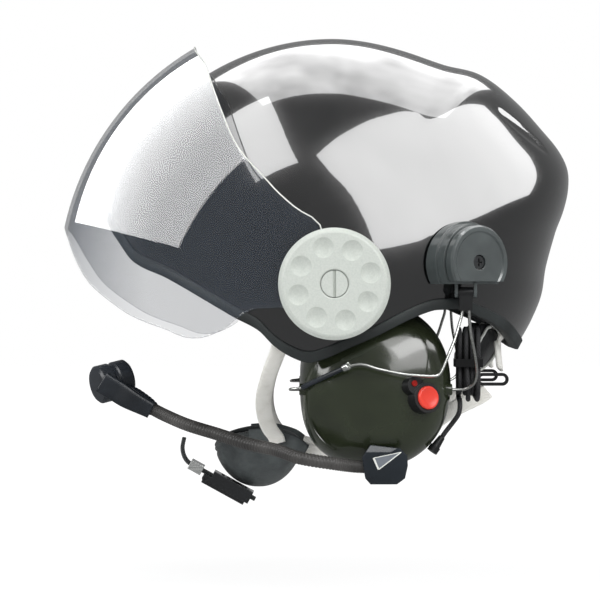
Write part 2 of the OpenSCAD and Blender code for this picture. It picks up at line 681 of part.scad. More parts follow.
neck_route = [neck_start, [13, -120.5, -109.4], [1, -119, -108], [-20.5, -113.5, -104.8],
    [-35, -104.5, -100.4], [-53, -92, -97], [-71, -78, -92], [-90, -62, -87], [-104.5, -50, -81.5],
    [-112, -44.5, -78]];
neck_last = len(neck_route) - 2;
function neck_at(s) = let (i = min(neck_last, floor(s))) spline_point(neck_route, i, s - i);
module boom_gooseneck() color([0.27, 0.26, 0.26]) {
    n = neck_ribs * 2;
    outer = [for (i = [0 : n]) neck_at(i * (neck_last + 1) / n)];
    ribs = [for (i = [0 : n]) let (r = i % 2 == 0 ? neck_r : neck_r - 0.45)
        ring_at(outer[i], tangent(outer, i), [0, 0, 1], r, r, 8)];
    m = 20;
    inner = [for (i = [0 : m]) neck_at(i * (neck_last + 1) / m)];
    bore = tube_rings(inner, [0, 0, 1], neck_bore_r, neck_bore_r, 8);
    skin(concat(ribs, [for (i = [0 : m]) bore[m - i]]), closed = true);
}

mic_axis = unit([0.855, 0.476, 0.21]);
mic_c = [-139, -27, -61];
neck_end = neck_route[neck_last + 1];
module mic_neck() color([0.12, 0.12, 0.12]) {
    dir = unit(mic_c - neck_end);
    foot = neck_end + 1 * dir;
    reach = mic_c - 14.5 * dir;
    skin([for (q = [[0, 4.6], [0.25, 5.4], [0.8, 5.6], [1, 4.5]])
        ring_at(foot + (reach - foot) * q[0], dir, [0, 0, 1], q[1], q[1], 8)]);
}
module mic_capsule() color([0.1, 0.1, 0.1]) translate(mic_c) rotate(turned(mic_axis)) difference() {
    rotate_extrude() polygon([[0, -mic_l/2], [mic_r - 1.5, -mic_l/2], [mic_r, -mic_l/2 + 1.5],
        [mic_r, -2], [mic_r - 0.8, -1.2], [mic_r - 0.8, 1.2], [mic_r, 2], [mic_r, mic_l/2 - 1.5],
        [mic_r - 1.5, mic_l/2], [mic_r - 3, mic_l/2], [mic_r - 4, mic_l/2 - 1], [0, mic_l/2 - 1]]);
    for (x = [-2 : 2]) translate([x * 3, 0, mic_l/2]) cube([1.2, 10, 6], center = true);
}

// Straps, rings and rivets

chin_at = [-47, 0, -95];
wing_t = 3;
wing_w = 13;
wing_route = [[-52, -42.2, -97], [-44, -43.2, -96.5], [-36, -44.6, -97], [-26, -46.8, -100],
    [-17, -48.6, -104.5]];
strap_in = shell_wall + trim_t + 2 * gap + strap_t / 2;
on_cup = strap_t / 2 + 2 * gap;
function in_shell(x, z, off) = [x, off - form_y(x, z, 0), z];
strap_top = in_shell(-31, -20, shell_wall + 4 * gap + strap_t / 2);
front_strap_route = [strap_top, in_shell(-31.5, -27, strap_in + 1.2),
    in_shell(-32.5, -34, strap_in + 1.3), in_shell(-34, -41, strap_in + 1.6),
    [-38.5, -95, -53], [-42, -81, -65], [-43, -71.5, -73.5], [-42, -62.5, -82], [-39.3, -55, -89.5],
    wing_route[2] + [0.4, -wing_t / 2 - on_cup - 0.6, 2],
    wing_route[2] + [1.6, -wing_t / 2 - on_cup, -2]];
// The rear strap leaves the shell between its edge trim and the neck roll
strap_phi = 158;
strap_off = -strap_in;
function inside_edge(mm) = form_point(strap_phi,
    lifted(edge_psi(strap_phi, shell_edge, strap_off), mm, strap_phi, strap_off), strap_off);
ring_c = [99.5, -50.5, nape_z - 18];
ring_w = 20;
ring_h = 8;
ring_bar = 2;
rear_upper_route = [inside_edge(3.5), inside_edge(0), inside_edge(-4), inside_edge(-8),
    ring_c + [4.5, 0, ring_h / 2 + 2.7]];
rear_lower_route = [ring_c - [3.5, 0, ring_h / 2 + 3.3], [91.5, -52, -69.5], [74, -55.2, -78],
    [58, -55.8, -88.5], [38, -54.8, -98], [16, -50.7, -104.5], [0, -46.8, -106],
    wing_route[4] + [7, wing_t / 2 + on_cup + 0.2, -1],
    wing_route[4] + [-2, wing_t / 2 + on_cup + 0.2, 1.5]];
module white() color([0.92, 0.92, 0.88]) children();
module front_strap(side) on_side(side) white()
    tube(smooth_route(front_strap_route, 2), [0.1, -0.6, -0.6], strap_w/2, strap_t/2, 8);
module rear_strap(side) on_side(side) white() {
    tube(smooth_route(rear_upper_route, 2), [1, -0.4, 0.3], strap_w * 0.4, strap_t/2, 8);
    tube(smooth_route(rear_lower_route, 2), [0.2, 1, 0.1], strap_w/2, strap_t/2, 8);
}
module strap_rings() color([0.07, 0.07, 0.07]) for (side = [-1, 1]) on_side(side)
    translate(ring_c) rotate([90, 0, 0]) difference() {
        slot_form(ring_w, ring_h, 3);
        slot_form(ring_w - 2 * ring_bar, ring_h - 2 * ring_bar, 5);
    }
// A plate with round ends
module slot_form(w, h, t) {
    cube([w - h, h, t], center = true);
    for (s = [-1, 1]) translate([s * (w - h) / 2, 0, 0]) cylinder(r = h / 2, h = t, center = true);
}
module strap_rivets() color([0.5, 0.5, 0.48]) for (side = [-1, 1]) on_side(side)
    translate(strap_top + [0, strap_t / 2 + 10 * gap + 2, -3.4]) rotate([90, 0, 0])
        cylinder(r = 3, h = 2);

// Chin cup: a padded bowl, open at the top, higher at its sides, with a flat wing on each side
function chin_point(a, e, off) =
    let (k = pow(pow(abs(cos(a)), 3) + pow(abs(sin(a)), 3), -1 / 3) * cos(e))
    chin_at + [(chin_a + off) * cos(a) * k, (chin_b + off) * sin(a) * k, (chin_c + off) * sin(e)];
module chin_cup() {
    n = 28;
    rows = 6;
    lip = [for (i = [0 : n - 1]) -14 + 16 * pow(sin(360 * i / n), 2)];
    grid = [for (off = [0, -chin_wall]) for (i = [0 : n - 1]) for (j = [1 : rows])
        chin_point(360 * i / n, -90 + (90 + lip[i]) * j / rows, off)];
    function o(i, j) = (i % n) * rows + j - 1;
    function q(i, j) = n * rows + o(i, j);
    low = 2 * n * rows;
    faces = [for (i = [0 : n - 1]) for (f = concat(
        [[low, o(i, 1), o(i + 1, 1)], [low + 1, q(i + 1, 1), q(i, 1)]],
        [for (j = [1 : rows - 1]) for (g = [
            [o(i, j), o(i + 1, j + 1), o(i + 1, j)], [o(i, j), o(i, j + 1), o(i + 1, j + 1)],
            [q(i, j), q(i + 1, j), q(i + 1, j + 1)], [q(i, j), q(i + 1, j + 1), q(i, j + 1)]]) g],
        [[o(i, rows), q(i + 1, rows), o(i + 1, rows)], [o(i, rows), q(i, rows), q(i + 1, rows)]]
        )) f];
    color([0.21, 0.23, 0.23]) {
        polyhedron(concat(grid, [chin_at - [0, 0, chin_c], chin_at - [0, 0, chin_c - chin_wall]]),
            faces, convexity = 6);
        for (side = [-1, 1]) on_side(side)
            tube(smooth_route(wing_route, 2), [0.2, 1, 0.1], wing_w / 2, wing_t / 2, 8);
    }
}

// Buckle under the chin, its axis slopes down to the rear
buckle_at = [-64, -20, -127.7];
buckle_slope = 28.8;
slot_h = 2.4;
slot_mid = 0.3;
lever_t = 2;
hinge_x = -buckle_l/2 - 2.5;
hinge_z = -buckle_h/2 + 1.4;
ear_r = 2.6;
lever_w = buckle_w - 6.8;
module at_buckle() translate(buckle_at) rotate([0, buckle_slope, 0]) children();
module buckle_body() color([0.1, 0.1, 0.11]) at_buckle() difference() {
    union() {
        translate([-buckle_l/2, -buckle_w/2, -buckle_h/2]) cube([buckle_l, buckle_w, buckle_h]);
        for (s = [-1, 1]) translate([hinge_x, s * (buckle_w/2 - 1.5), hinge_z])
            rotate([90, 0, 0]) {
                cylinder(r = ear_r, h = 3, center = true);
                translate([0, -1, -1.5]) cube([3, ear_r + 1, 3]);
            }
    }
    translate([-buckle_l, -buckle_w/2 + 3, slot_mid - slot_h/2])
        cube([2 * buckle_l, buckle_w - 6, slot_h]);
    translate([hinge_x, 0, hinge_z]) rotate([90, 0, 0])
        cylinder(r = 1 + running, h = buckle_w * 2, center = true);
    for (x = [-8 : 4 : 8]) translate([x, 0, buckle_h/2 + 0.6]) rotate([90, 0, 0])
        cylinder(r = 1.2, h = buckle_w - 5, center = true, $fn = 24);
}
module buckle_lever() color([0.75, 0.76, 0.75]) at_buckle() translate([hinge_x, 0, hinge_z]) {
    rotate([90, 0, 0]) cylinder(r = 1, h = buckle_w - 0.6, center = true);
    rotate([90, 0, 0]) cylinder(r = 1.7, h = lever_w, center = true);
    translate([-1.7, -lever_w/2, -1.4 - gap - lever_t]) cube([buckle_l + 2, lever_w, lever_t]);
    translate([-1.7, -lever_w/2, -2]) cube([1.7, lever_w, 2]);
}
// Bright keeper that the tab runs through
keeper_l = 9;
module buckle_frame() color([0.75, 0.76, 0.75]) at_buckle()
    translate([hinge_x - ear_r - 6 * gap - keeper_l, 0, slot_mid]) difference() {
        translate([0, -buckle_w/2, -3]) cube([keeper_l, buckle_w, 6]);
        translate([-1, -buckle_w/2 + 2.6, -slot_h/2]) cube([keeper_l + 2, buckle_w - 5.2, slot_h]);
    }
// Side view of the tab in the buckle's own axes: flat to the front of the keeper, then curled up
tab_line = [[17, 0.3], [9, 0.3], [0, 0.3], [-9, 0.3], [-18, 0.3], [-25, 0.3], [-31, 0.4],
    [-35.5, 2.6], [-39, 6.8], [-41, 12.8]];
module strap_tab() color([0.14, 0.15, 0.15]) at_buckle()
    tube(smooth_route([for (p = tab_line) [p[0], 0, p[1]]], 2), [0, 0, 1], buckle_w/2 - 4, 0.8, 8);

// Cable: gland, lead, hank, tie and plug. The hank's layers lie side by side along X.

hank_c = [82.5, -82, -48];
hank_step = cable_d + 0.7;
loops_in_layer = 2;
loop_rings = 24;
hank_loops = loops_in_layer * hank_layers;
// Innermost loop, drawn in at its waist, and the direction square to it
function hank_base(a) = [(hank_waist + hank_lobe * pow(sin(a), 2)) * cos(a), hank_half_l * sin(a)];
function hank_out(a) = let (d = hank_base(a + 1) - hank_base(a - 1)) unit([d.y, -d.x]);
// Steps off the innermost loop: in, out, in, out, one layer after the other
function hank_turn(t) = let (k = floor(t / loops_in_layer), f = t - k * loops_in_layer)
    k % 2 == 0 ? loops_in_layer - f : f;
// The cable climbs a layer in the half turn where the spiral turns back
function hank_level(t) = t < loops_in_layer / 2 ? 0 :
    let (k = round(t / loops_in_layer), f = t - k * loops_in_layer)
    k > hank_layers - 1 ? hank_layers - 1 : k - 1 + min(1, max(0, 2 * f + 0.5));
function hank_point(t) = let (a = 360 * t - 90, k = hank_step * hank_turn(t),
        p = hank_base(a) + hank_out(a) * k)
    hank_c + [hank_step * (hank_level(t) - (hank_layers - 1) / 2), p.x, p.y];
hank_turns = [for (i = [0 : hank_loops * loop_rings]) hank_point(i / loop_rings)];
hank_start = hank_turns[0] - [0, cable_d, 0];
hank_end = hank_turns[len(hank_turns) - 1];
hank_side = max([for (a = [0 : 5 : 90]) hank_base(a).x]) + loops_in_layer * hank_step + cable_d/2;
plug_r = 3.6;
plug_foot = hank_c + [0, hank_side + gap + plug_r, -10];
tail_route = [hank_end, hank_end + [0, 4, 0], hank_end + [-0.6, 9.5, 1.4],
    hank_end + [-2.6, 14.5, 5], plug_foot - [1, 0, 8], plug_foot - [0, 0, 3.5],
    plug_foot - [0, 0, gap]];
tail_points = smooth_route(tail_route, 2);
hank_points = concat([hank_start], hank_turns, [for (i = [1 : len(tail_points) - 1]) tail_points[i]]);
hank_near = min([for (i = [0 : len(hank_points) - 14]) for (j = [i + 12 : len(hank_points) - 2])
    for (f = [0, 0.25, 0.5, 0.75])
        norm(hank_points[i] - (hank_points[j] * (1 - f) + hank_points[j + 1] * f))]) - cable_d;
echo(hank_least_gap = hank_near);
function sum_length(p, i = 0, s = 0) =
    i >= len(p) - 1 ? s : sum_length(p, i + 1, s + norm(p[i + 1] - p[i]));
echo(hank_length = sum_length(hank_points));

module comm_hank() color([0.06, 0.06, 0.07])
    tube(hank_points, [1, 0, 0], cable_d/2, cable_d/2, 6);

// The gland lies along the cup's rim, below its rear end
function cup_place(p) = [cup_x + p.x, p.y * sin(cup_lean) - p.z * cos(cup_lean) - cup_y,
    cup_z + p.y * cos(cup_lean) + p.z * sin(cup_lean)];
function rim_place(a, off) = cup_place([(cup_reach(a) + off) * cos(a), (cup_reach(a) + off) * sin(a),
    cup_base + 5]);
gland_r = 3.4;
gland_l = 11;
gland_at = rim_place(-50, gland_r + 2 * gap);
gland_dir = unit(rim_place(-30, gland_r) - rim_place(-50, gland_r));
gland_end = gland_at + gland_l * gland_dir;
function turned(v) = [0, acos(v.z / norm(v)), atan2(v.y, v.x)];
module cable_gland() color([0.08, 0.08, 0.08]) translate(gland_at) rotate(turned(gland_dir)) {
    cylinder(r = gland_r, h = 4);
    translate([0, 0, 4]) cylinder(r1 = gland_r - 0.6, r2 = cable_d/2 + 0.5, h = gland_l - 4);
}
lead_route = [gland_end + gap * gland_dir, gland_end + 4 * gland_dir, [73, -89.5, -84],
    hank_start + [-1, -7.3, -9], hank_start + [0, -7.6, -4.4], hank_start + [0, -5.6, -1.1],
    hank_start - [0, 3, 0], hank_start - [0, gap, 0]];
module comm_lead() color([0.06, 0.06, 0.07])
    tube(smooth_route(lead_route, 2), [1, 0, 0], cable_d/2, cable_d/2, 6);

tie_w = 5;
tie_t = 1;
tie_in = [hank_layers * hank_step, 2 * (hank_base(10).x + loops_in_layer * hank_step) + cable_d + 0.4];
module hank_tie() color([0.05, 0.05, 0.05]) translate(hank_c) difference() {
    cube([tie_in.x + 2 * tie_t, tie_in.y + 2 * tie_t, tie_w], center = true);
    cube([tie_in.x, tie_in.y, tie_w + 2], center = true);
}
module comm_plug() color([0.12, 0.12, 0.12]) translate(plug_foot) {
    cylinder(r1 = 2.2, r2 = plug_r - 0.2, h = 5);
    translate([0, 0, 5]) cylinder(r = plug_r, h = 16);
    translate([0, 0, 21]) cylinder(r = 1.75, h = 11);
}

outer_shell();
edge_trim();
impact_liner();
crown_pad();
brow_pad();
neck_roll();
pivot_base(-1);  // left_pivot_base
pivot_base(1);  // right_pivot_base
pivot_screw(-1);  // left_pivot_screw
pivot_screw(1);  // right_pivot_screw
muff_mount(-1);  // left_muff_mount
muff_mount(1);  // right_muff_mount
mount_cap(-1);  // left_mount_cap
mount_cap(1);  // right_mount_cap
mount_screw(-1);  // left_mount_screw
mount_screw(1);  // right_mount_screw
bail_pin(-1);  // left_bail_pin
bail_pin(1);  // right_bail_pin
front_strap(-1);  // left_front_strap
front_strap(1);  // right_front_strap
rear_strap(-1);  // left_rear_strap
rear_strap(1);  // right_rear_strap
strap_rings();
strap_rivets();
chin_cup();
buckle_body();
buckle_frame();
strap_tab();
visor();
friction_washers();
knob(-1);  // left_knob
knob(1);  // right_knob
bail(-1);  // left_bail
bail(1);  // right_bail
bail_stem(-1);  // left_bail_stem
bail_stem(1);  // right_bail_stem
ear_cup(-1);  // left_ear_cup
backplate(-1);  // left_backplate
ear_cushion(-1);  // left_ear_cushion
speaker(-1);  // left_speaker
foam(-1);  // left_foam
ear_cup(1);  // right_ear_cup
backplate(1);  // right_backplate
ear_cushion(1);  // right_ear_cushion
speaker(1);  // right_speaker
foam(1);  // right_foam
button_housing();
talk_button();
indicator_lens();
boom_block();
boom_gooseneck();
mic_neck();
mic_capsule();
cable_gland();
comm_lead();
comm_hank();
hank_tie();
comm_plug();
buckle_lever();
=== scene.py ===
"""Looks of the paramotor helmet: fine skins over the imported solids, soft goods, materials and light."""
import json
import math
import bpy
import bmesh
from mathutils import Vector, Matrix


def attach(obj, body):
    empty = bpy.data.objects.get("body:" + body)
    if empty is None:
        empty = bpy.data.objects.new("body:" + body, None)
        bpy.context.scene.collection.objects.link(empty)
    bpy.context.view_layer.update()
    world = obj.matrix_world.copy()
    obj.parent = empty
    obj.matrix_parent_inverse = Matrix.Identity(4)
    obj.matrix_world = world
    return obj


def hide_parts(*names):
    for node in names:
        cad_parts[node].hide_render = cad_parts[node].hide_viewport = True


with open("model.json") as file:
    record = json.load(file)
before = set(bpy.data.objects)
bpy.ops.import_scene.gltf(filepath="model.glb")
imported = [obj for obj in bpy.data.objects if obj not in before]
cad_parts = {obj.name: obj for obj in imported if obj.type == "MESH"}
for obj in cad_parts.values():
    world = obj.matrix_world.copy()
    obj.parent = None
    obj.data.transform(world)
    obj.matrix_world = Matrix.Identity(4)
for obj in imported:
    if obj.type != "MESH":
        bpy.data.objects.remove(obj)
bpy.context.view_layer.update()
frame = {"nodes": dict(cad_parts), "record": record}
nodes = frame["nodes"]
record = frame["record"]
slot_of = {s["node"]: s["material_slot"] for s in record["subparts"]}
MM = 0.001
scene = bpy.context.scene

# Camera: square on to the wearer's left side
VIEW_WIDTH = 0.384
CAMERA_AT = Vector((-0.0205, -1.92, -0.0096))
SENSOR, CLIP_END = 36, 20


def make_camera():
    data = bpy.data.cameras.new("camera")
    data.sensor_width = SENSOR
    data.lens = SENSOR * -CAMERA_AT.y / VIEW_WIDTH
    data.clip_end = CLIP_END
    camera = bpy.data.objects.new("camera", data)
    camera.location = CAMERA_AT
    camera.rotation_euler = (math.pi / 2, 0, 0)
    scene.collection.objects.link(camera)
    scene.camera = camera


make_camera()


# Curves and sweeps, in millimetres

OUT_LEFT = Vector((0, -1, 0))


def mix(a, b, t):
    return a + (b - a) * t


def smooth_step(x):
    x = min(1, max(0, x))
    return x * x * (3 - 2 * x)


def turns(count, offset=0.0):
    """Angles of equal steps round a full turn, in radians."""
    return [2 * math.pi * (i + offset) / count for i in range(count)]


def super_radius(x, y, power):
    """Reach of a rounded box in a direction, given over its half sizes."""
    return (abs(x)**power + abs(y)**power) ** (-1 / power)


def along_curve(knots, x):
    """Height of a smooth curve through given knots, as the source draws it."""
    i = 0
    while i < len(knots) - 2 and x >= knots[i + 1][0]:
        i += 1

    def slope(k):
        a, b = knots[max(k - 1, 0)], knots[min(k + 1, len(knots) - 1)]
        return (b[1] - a[1]) / (b[0] - a[0])

    h = knots[i + 1][0] - knots[i][0]
    t = min(1, max(0, (x - knots[i][0]) / h))
    return ((2*t**3 - 3*t*t + 1) * knots[i][1] + (t**3 - 2*t*t + t) * h * slope(i)
            + (3*t*t - 2*t**3) * knots[i + 1][1] + (t**3 - t*t) * h * slope(i + 1))


def smooth_route(points, steps):
    """Points of a smooth curve through all the given points."""
    p = [Vector(q) for q in points]
    route = []
    for i in range(len(p) - 1):
        a, b, c, d = p[max(i - 1, 0)], p[i], p[i + 1], p[min(i + 2, len(p) - 1)]
        for s in range(steps):
            t = s / steps
            route.append(0.5 * (2*b + (c - a)*t + (2*a - 5*b + 4*c - d)*t*t
                                + (3*b - a - 3*c + d)*t**3))
    route.append(p[-1])
    return route


def face_outward(mesh, fill=0):
    """Turns all faces outward, after holes with up to fill sides are closed."""
    tool = bmesh.new()
    tool.from_mesh(mesh)
    if fill:
        bmesh.ops.holes_fill(tool, edges=tool.edges, sides=fill)
    bmesh.ops.recalc_face_normals(tool, faces=tool.faces)
    tool.to_mesh(mesh)
    tool.free()


def link_mesh(name, points, faces, uvs=None):
    """A smooth shaded object from points in millimetres. uvs gives one pair for each point."""
    mesh = bpy.data.meshes.new(name)
    mesh.from_pydata([tuple(Vector(p) * MM) for p in points], [], faces)
    if uvs:
        layer = mesh.uv_layers.new(name="along")
        for loop in mesh.loops:
            layer.data[loop.index].uv = uvs[loop.vertex_index]
    mesh.update()
    face_outward(mesh)
    mesh.shade_smooth()
    obj = bpy.data.objects.new(name, mesh)
    scene.collection.objects.link(obj)
    return obj


def skin(name, rings, closed=False, uvs=None):
    """Quads between rings of points, with flat ends unless the rings close on themselves."""
    n, m = len(rings), len(rings[0])
    faces = []
    for i in range(n if closed else n - 1):
        for j in range(m):
            k, l = (i + 1) % n, (j + 1) % m
            faces.append((i*m + j, k*m + j, k*m + l, i*m + l))
    if not closed:
        faces.append(tuple(range(m)))
        faces.append(tuple(range((n - 1)*m, n*m))[::-1])
    return link_mesh(name, [p for r in rings for p in r], faces, uvs)


def tangents(path):
    return [(b - a).normalized() for a, b in zip(path[:1] + path[:-1], path[1:] + path[-1:])]


def run_lengths(path):
    """Length of the path up to each of its points."""
    runs = [0]
    for a, b in zip(path, path[1:]):
        runs.append(runs[-1] + (b - a).length)
    return runs


def cross_ways(path):
    """Two directions across the path at each point, carried along without twisting."""
    side = tangents(path)[0].orthogonal().normalized()
    for t in tangents(path):
        side = (side - t * side.dot(t)).normalized()
        yield side, t.cross(side)


def circle(centre, u, v, radius, sides):
    return [centre + (u * math.cos(a) + v * math.sin(a)) * radius for a in turns(sides)]


def round_tube(name, path, radius, sides=12):
    """A round tube. radius is a number or a function of the place along it, from 0 to 1."""
    rings, uvs = [], []
    for i, (p, (u, v), run) in enumerate(zip(path, cross_ways(path), run_lengths(path))):
        r = radius(i / (len(path) - 1)) if callable(radius) else radius
        rings.append(circle(p, u, v, r, sides))
        uvs += [(j / sides, run) for j in range(sides)]
    return skin(name, rings, uvs=uvs)


def flat_band(name, path, up, width, thick, sides=16, power=3.2, shape=None):
    """A strap: a rounded flat section carried along a path, its width square to up."""
    rings, uvs = [], []
    for i, (p, t, run) in enumerate(zip(path, tangents(path), run_lengths(path))):
        u = Vector(up).cross(t).normalized()
        v = t.cross(u)
        w, h = shape(i / (len(path) - 1)) if shape else (1, 1)
        ring = []
        for a in turns(sides, 0.5):
            k = super_radius(math.cos(a), math.sin(a), power)
            x, y = math.cos(a) * k * width / 2, math.sin(a) * k * thick / 2
            ring.append(p + u * (x * w) + v * (y * h))
            uvs.append((x, run))
        rings.append(ring)
    return skin(name, rings, uvs=uvs)


def lathe(name, foot, axis, profile, sides=48):
    """A turned piece: profile lists radius and distance from the foot along the axis."""
    t = Vector(axis).normalized()
    u = t.orthogonal().normalized()
    return skin(name, [circle(Vector(foot) + t * h, u, t.cross(u), r, sides) for r, h in profile])


def rounded(r, h, edge):
    """Profile of a turned disc with softened edges."""
    corner = [(r - edge + edge * math.sin(a), edge * math.cos(a)) for a in span(0, math.pi / 2, 4)]
    return ([(0.05, 0)] + [(x, edge - y) for x, y in corner]
            + [(x, h - edge + y) for x, y in corner[::-1]] + [(0.05, h)])


def span(a, b, n):
    return [a + (b - a) * i / n for i in range(n + 1)]


# Shell form: the outline gives the radius at each angle seen from the visor axis

FORM = 2.1
HALF_W = 121
BROW_R, CROWN_R, HIP_R, CORNER_R, BACK_R, NAPE_R = 148.5, 157, 165.5, 168, 136, 124
BROW_Z, TEMPLE_Z, ARCH_Z, NAPE_Z = 40, -47, -15.5, -41
SHELL_WALL, TRIM_T, TRIM_H, GAP = 3.5, 1.3, 7, 0.3
LINER_OFF = -SHELL_WALL - 1.1
LINER_IN = LINER_OFF - 21
PAD_T, PAD_GAP = 9, 1.4
STRAP_W, STRAP_T = 10, 3.6
OUTLINE = [
    (-20, BROW_R - 3), (16, BROW_R), (32, CROWN_R - 2.5), (60, CROWN_R - 0.8), (90, CROWN_R),
    (108, CROWN_R - 1), (117, CROWN_R + 0.5), (125, HIP_R - 1.5), (135, HIP_R), (143, HIP_R + 0.7),
    (149.5, CORNER_R), (154, CORNER_R - 0.8), (158, CORNER_R - 5.5), (162, CORNER_R - 12.5),
    (167, BACK_R + 10), (175, BACK_R + 1), (183, BACK_R - 2.5), (190, BACK_R - 7),
    (199, NAPE_R), (225, NAPE_R - 3)]
PLAIN_OUTLINE = [(-20, BROW_R - 3), (30, CROWN_R - 2), (90, CROWN_R), (125, CROWN_R + 1),
                 (150, CROWN_R - 6), (175, BACK_R + 3), (199, NAPE_R + 1), (225, NAPE_R - 3)]
SHELL_EDGE = [
    (-146, BROW_Z + 4), (-142.7, BROW_Z), (-133, BROW_Z - 13), (-122, BROW_Z - 26.5),
    (-100, BROW_Z - 37), (-72, TEMPLE_Z + 34), (-60, TEMPLE_Z + 27), (-45, TEMPLE_Z + 19),
    (-36, TEMPLE_Z + 10), (-27, TEMPLE_Z + 4), (-16, TEMPLE_Z), (-6, TEMPLE_Z + 2),
    (10, TEMPLE_Z + 9), (26, ARCH_Z - 15.5), (44, ARCH_Z - 6.5), (59, ARCH_Z - 0.7), (68, ARCH_Z),
    (77, ARCH_Z), (88, ARCH_Z - 4.5), (94, ARCH_Z - 7), (105, NAPE_Z + 12), (117, NAPE_Z),
    (124, NAPE_Z - 4)]
LINER_EDGE = [
    (-146, BROW_Z + 17), (-125, BROW_Z - 6), (-100, BROW_Z - 21), (-72, TEMPLE_Z + 50),
    (-45, 2), (-20, 8), (70, 8), (84, 0), (95, -8), (110, NAPE_Z + 16), (120, NAPE_Z + 12)]


def form_radius(angle, side):
    f = min(1, side * side * 1.3)
    return mix(along_curve(OUTLINE, angle), along_curve(PLAIN_OUTLINE, angle), f)


def wrapped(angle):
    return angle + 360 if angle < -90 else angle


def form_point(phi, psi, off):
    a, b = math.radians(phi), math.radians(psi)
    d = Vector((-math.cos(b) * math.cos(a), -math.cos(b) * math.sin(a), math.sin(b)))
    r = form_radius(wrapped(math.degrees(math.atan2(d.z, -d.x))), abs(d.y)) + off
    s = math.hypot(d.x, d.z)
    return d * super_radius(s / r, d.y / (HALF_W + off), FORM)


def form_y(x, z, off):
    y, r = 100, math.hypot(x, z)
    for _ in range(8):
        big = form_radius(wrapped(math.degrees(math.atan2(z, -x))), y / math.hypot(r, y)) + off
        y = (HALF_W + off) * max(0.001, 1 - min(1, r / big)**FORM) ** (1 / FORM)
    return y


def edge_psi(phi, edge, off):
    lo, hi = -50, 70
    for _ in range(22):
        mid = (lo + hi) / 2
        p = form_point(phi, mid, off)
        if p.z > along_curve(edge, p.x):
            hi = mid
        else:
            lo = mid
    return (lo + hi) / 2


def lifted(psi, mm, phi, off):
    return psi + math.degrees(mm / form_point(phi, psi, off).length)


def dome(name, columns, rows, edge_of, outer, inner, dent=None):
    """A closed bowl between two offsets of the form, down to the angle edge_of gives."""
    points, faces = [], []
    phis = [360 * i / columns for i in range(columns)]
    psis = [edge_of(p) for p in phis]
    for off in (outer, inner):
        for phi, low in zip(phis, psis):
            for j in range(1, rows + 1):
                psi = 90 - (90 - low) * j / rows
                p = form_point(phi, psi, off)
                if dent and off == outer:
                    p = p * (1 - dent(p) / p.length)
                points.append(p)
    points += [form_point(0, 90, outer), form_point(0, 90, inner)]
    half = columns * rows
    for i in range(columns):
        k = (i + 1) % columns
        faces += [(2*half, i*rows, k*rows), (2*half + 1, half + k*rows, half + i*rows)]
        for j in range(rows - 1):
            a, b = i*rows + j, k*rows + j
            faces.append((a, a + 1, b + 1, b))
            faces.append((half + a, half + b, half + b + 1, half + a + 1))
        a, b = i*rows + rows - 1, k*rows + rows - 1
        faces.append((a, half + a, half + b, b))
    return link_mesh(name, points, faces)


def band(name, phis, psis, profile, closed=False):
    return skin(name, [[form_point(phi, lifted(psi, h, phi, off), off) for off, h in profile]
                       for phi, psi in zip(phis, psis)], closed)


def mirrored(obj, name):
    """The same piece on the other side of the middle plane."""
    twin = obj.copy()
    twin.data = obj.data.copy()
    twin.name = name
    twin.data.transform(Matrix.Scale(-1, 4, Vector((0, 1, 0))))
    twin.data.flip_normals()
    scene.collection.objects.link(twin)
    return twin


# Ear cup form. Local axes: x to the rear, y up, z out of the head

CUP_A, CUP_B, CUP_D = 46, 50, 36
CUP_X, CUP_Y, CUP_Z, CUP_LEAN = 25.5, 77, -63, 9.5
PLATE_T = 2.6
CUP_BASE = PLATE_T + GAP
CUP_PROFILE = [(0.955, 0), (0.985, 1.2), (1, 4), (1, 9), (0.985, 13), (0.95, 18), (0.88, 23.5),
               (0.77, 28.5), (0.62, 32), (0.42, 34.6), (0.2, 35.8)]


def cup_reach(a):
    n = 2.15 + 0.45 * max(0, math.cos(a - math.radians(222)))**2
    return super_radius(math.cos(a) / CUP_A, math.sin(a) / CUP_B, n)


def cup_place(x, y, z):
    c, s = math.cos(math.radians(CUP_LEAN)), math.sin(math.radians(CUP_LEAN))
    return Vector((CUP_X + x, y * s - z * c - CUP_Y, CUP_Z + y * c + z * s))


def rim_place(degrees, off):
    a = math.radians(degrees)
    r = cup_reach(a) + off
    return cup_place(r * math.cos(a), r * math.sin(a), CUP_BASE + 5)


# Cable: its lead, and its hank whose layers lie side by side along X

CABLE_D = 3
HANK_C = Vector((82.5, -82, -48))
HANK_STEP = CABLE_D + 0.7
HANK_HALF_L, HANK_WAIST, HANK_LOBE = 15, 2.4, 8
LAYERS, LOOPS_IN_LAYER, LOOP_RINGS = 4, 2, 24
PLUG_R = 3.6


def hank_base(degrees):
    a = math.radians(degrees)
    return Vector(((HANK_WAIST + HANK_LOBE * math.sin(a)**2) * math.cos(a),
                   HANK_HALF_L * math.sin(a)))


def hank_out(degrees):
    d = hank_base(degrees + 1) - hank_base(degrees - 1)
    return Vector((d.y, -d.x)).normalized()


def hank_turn(t):
    k = math.floor(t / LOOPS_IN_LAYER)
    f = t - k * LOOPS_IN_LAYER
    return LOOPS_IN_LAYER - f if k % 2 == 0 else f


def hank_level(t):
    if t < LOOPS_IN_LAYER / 2:
        return 0
    k = math.floor(t / LOOPS_IN_LAYER + 0.5)
    f = t - k * LOOPS_IN_LAYER
    return LAYERS - 1 if k > LAYERS - 1 else k - 1 + min(1, max(0, 2 * f + 0.5))


def hank_point(t):
    a = 360 * t - 90
    p = hank_base(a) + hank_out(a) * (HANK_STEP * hank_turn(t))
    return HANK_C + Vector((HANK_STEP * (hank_level(t) - (LAYERS - 1) / 2), p.x, p.y))


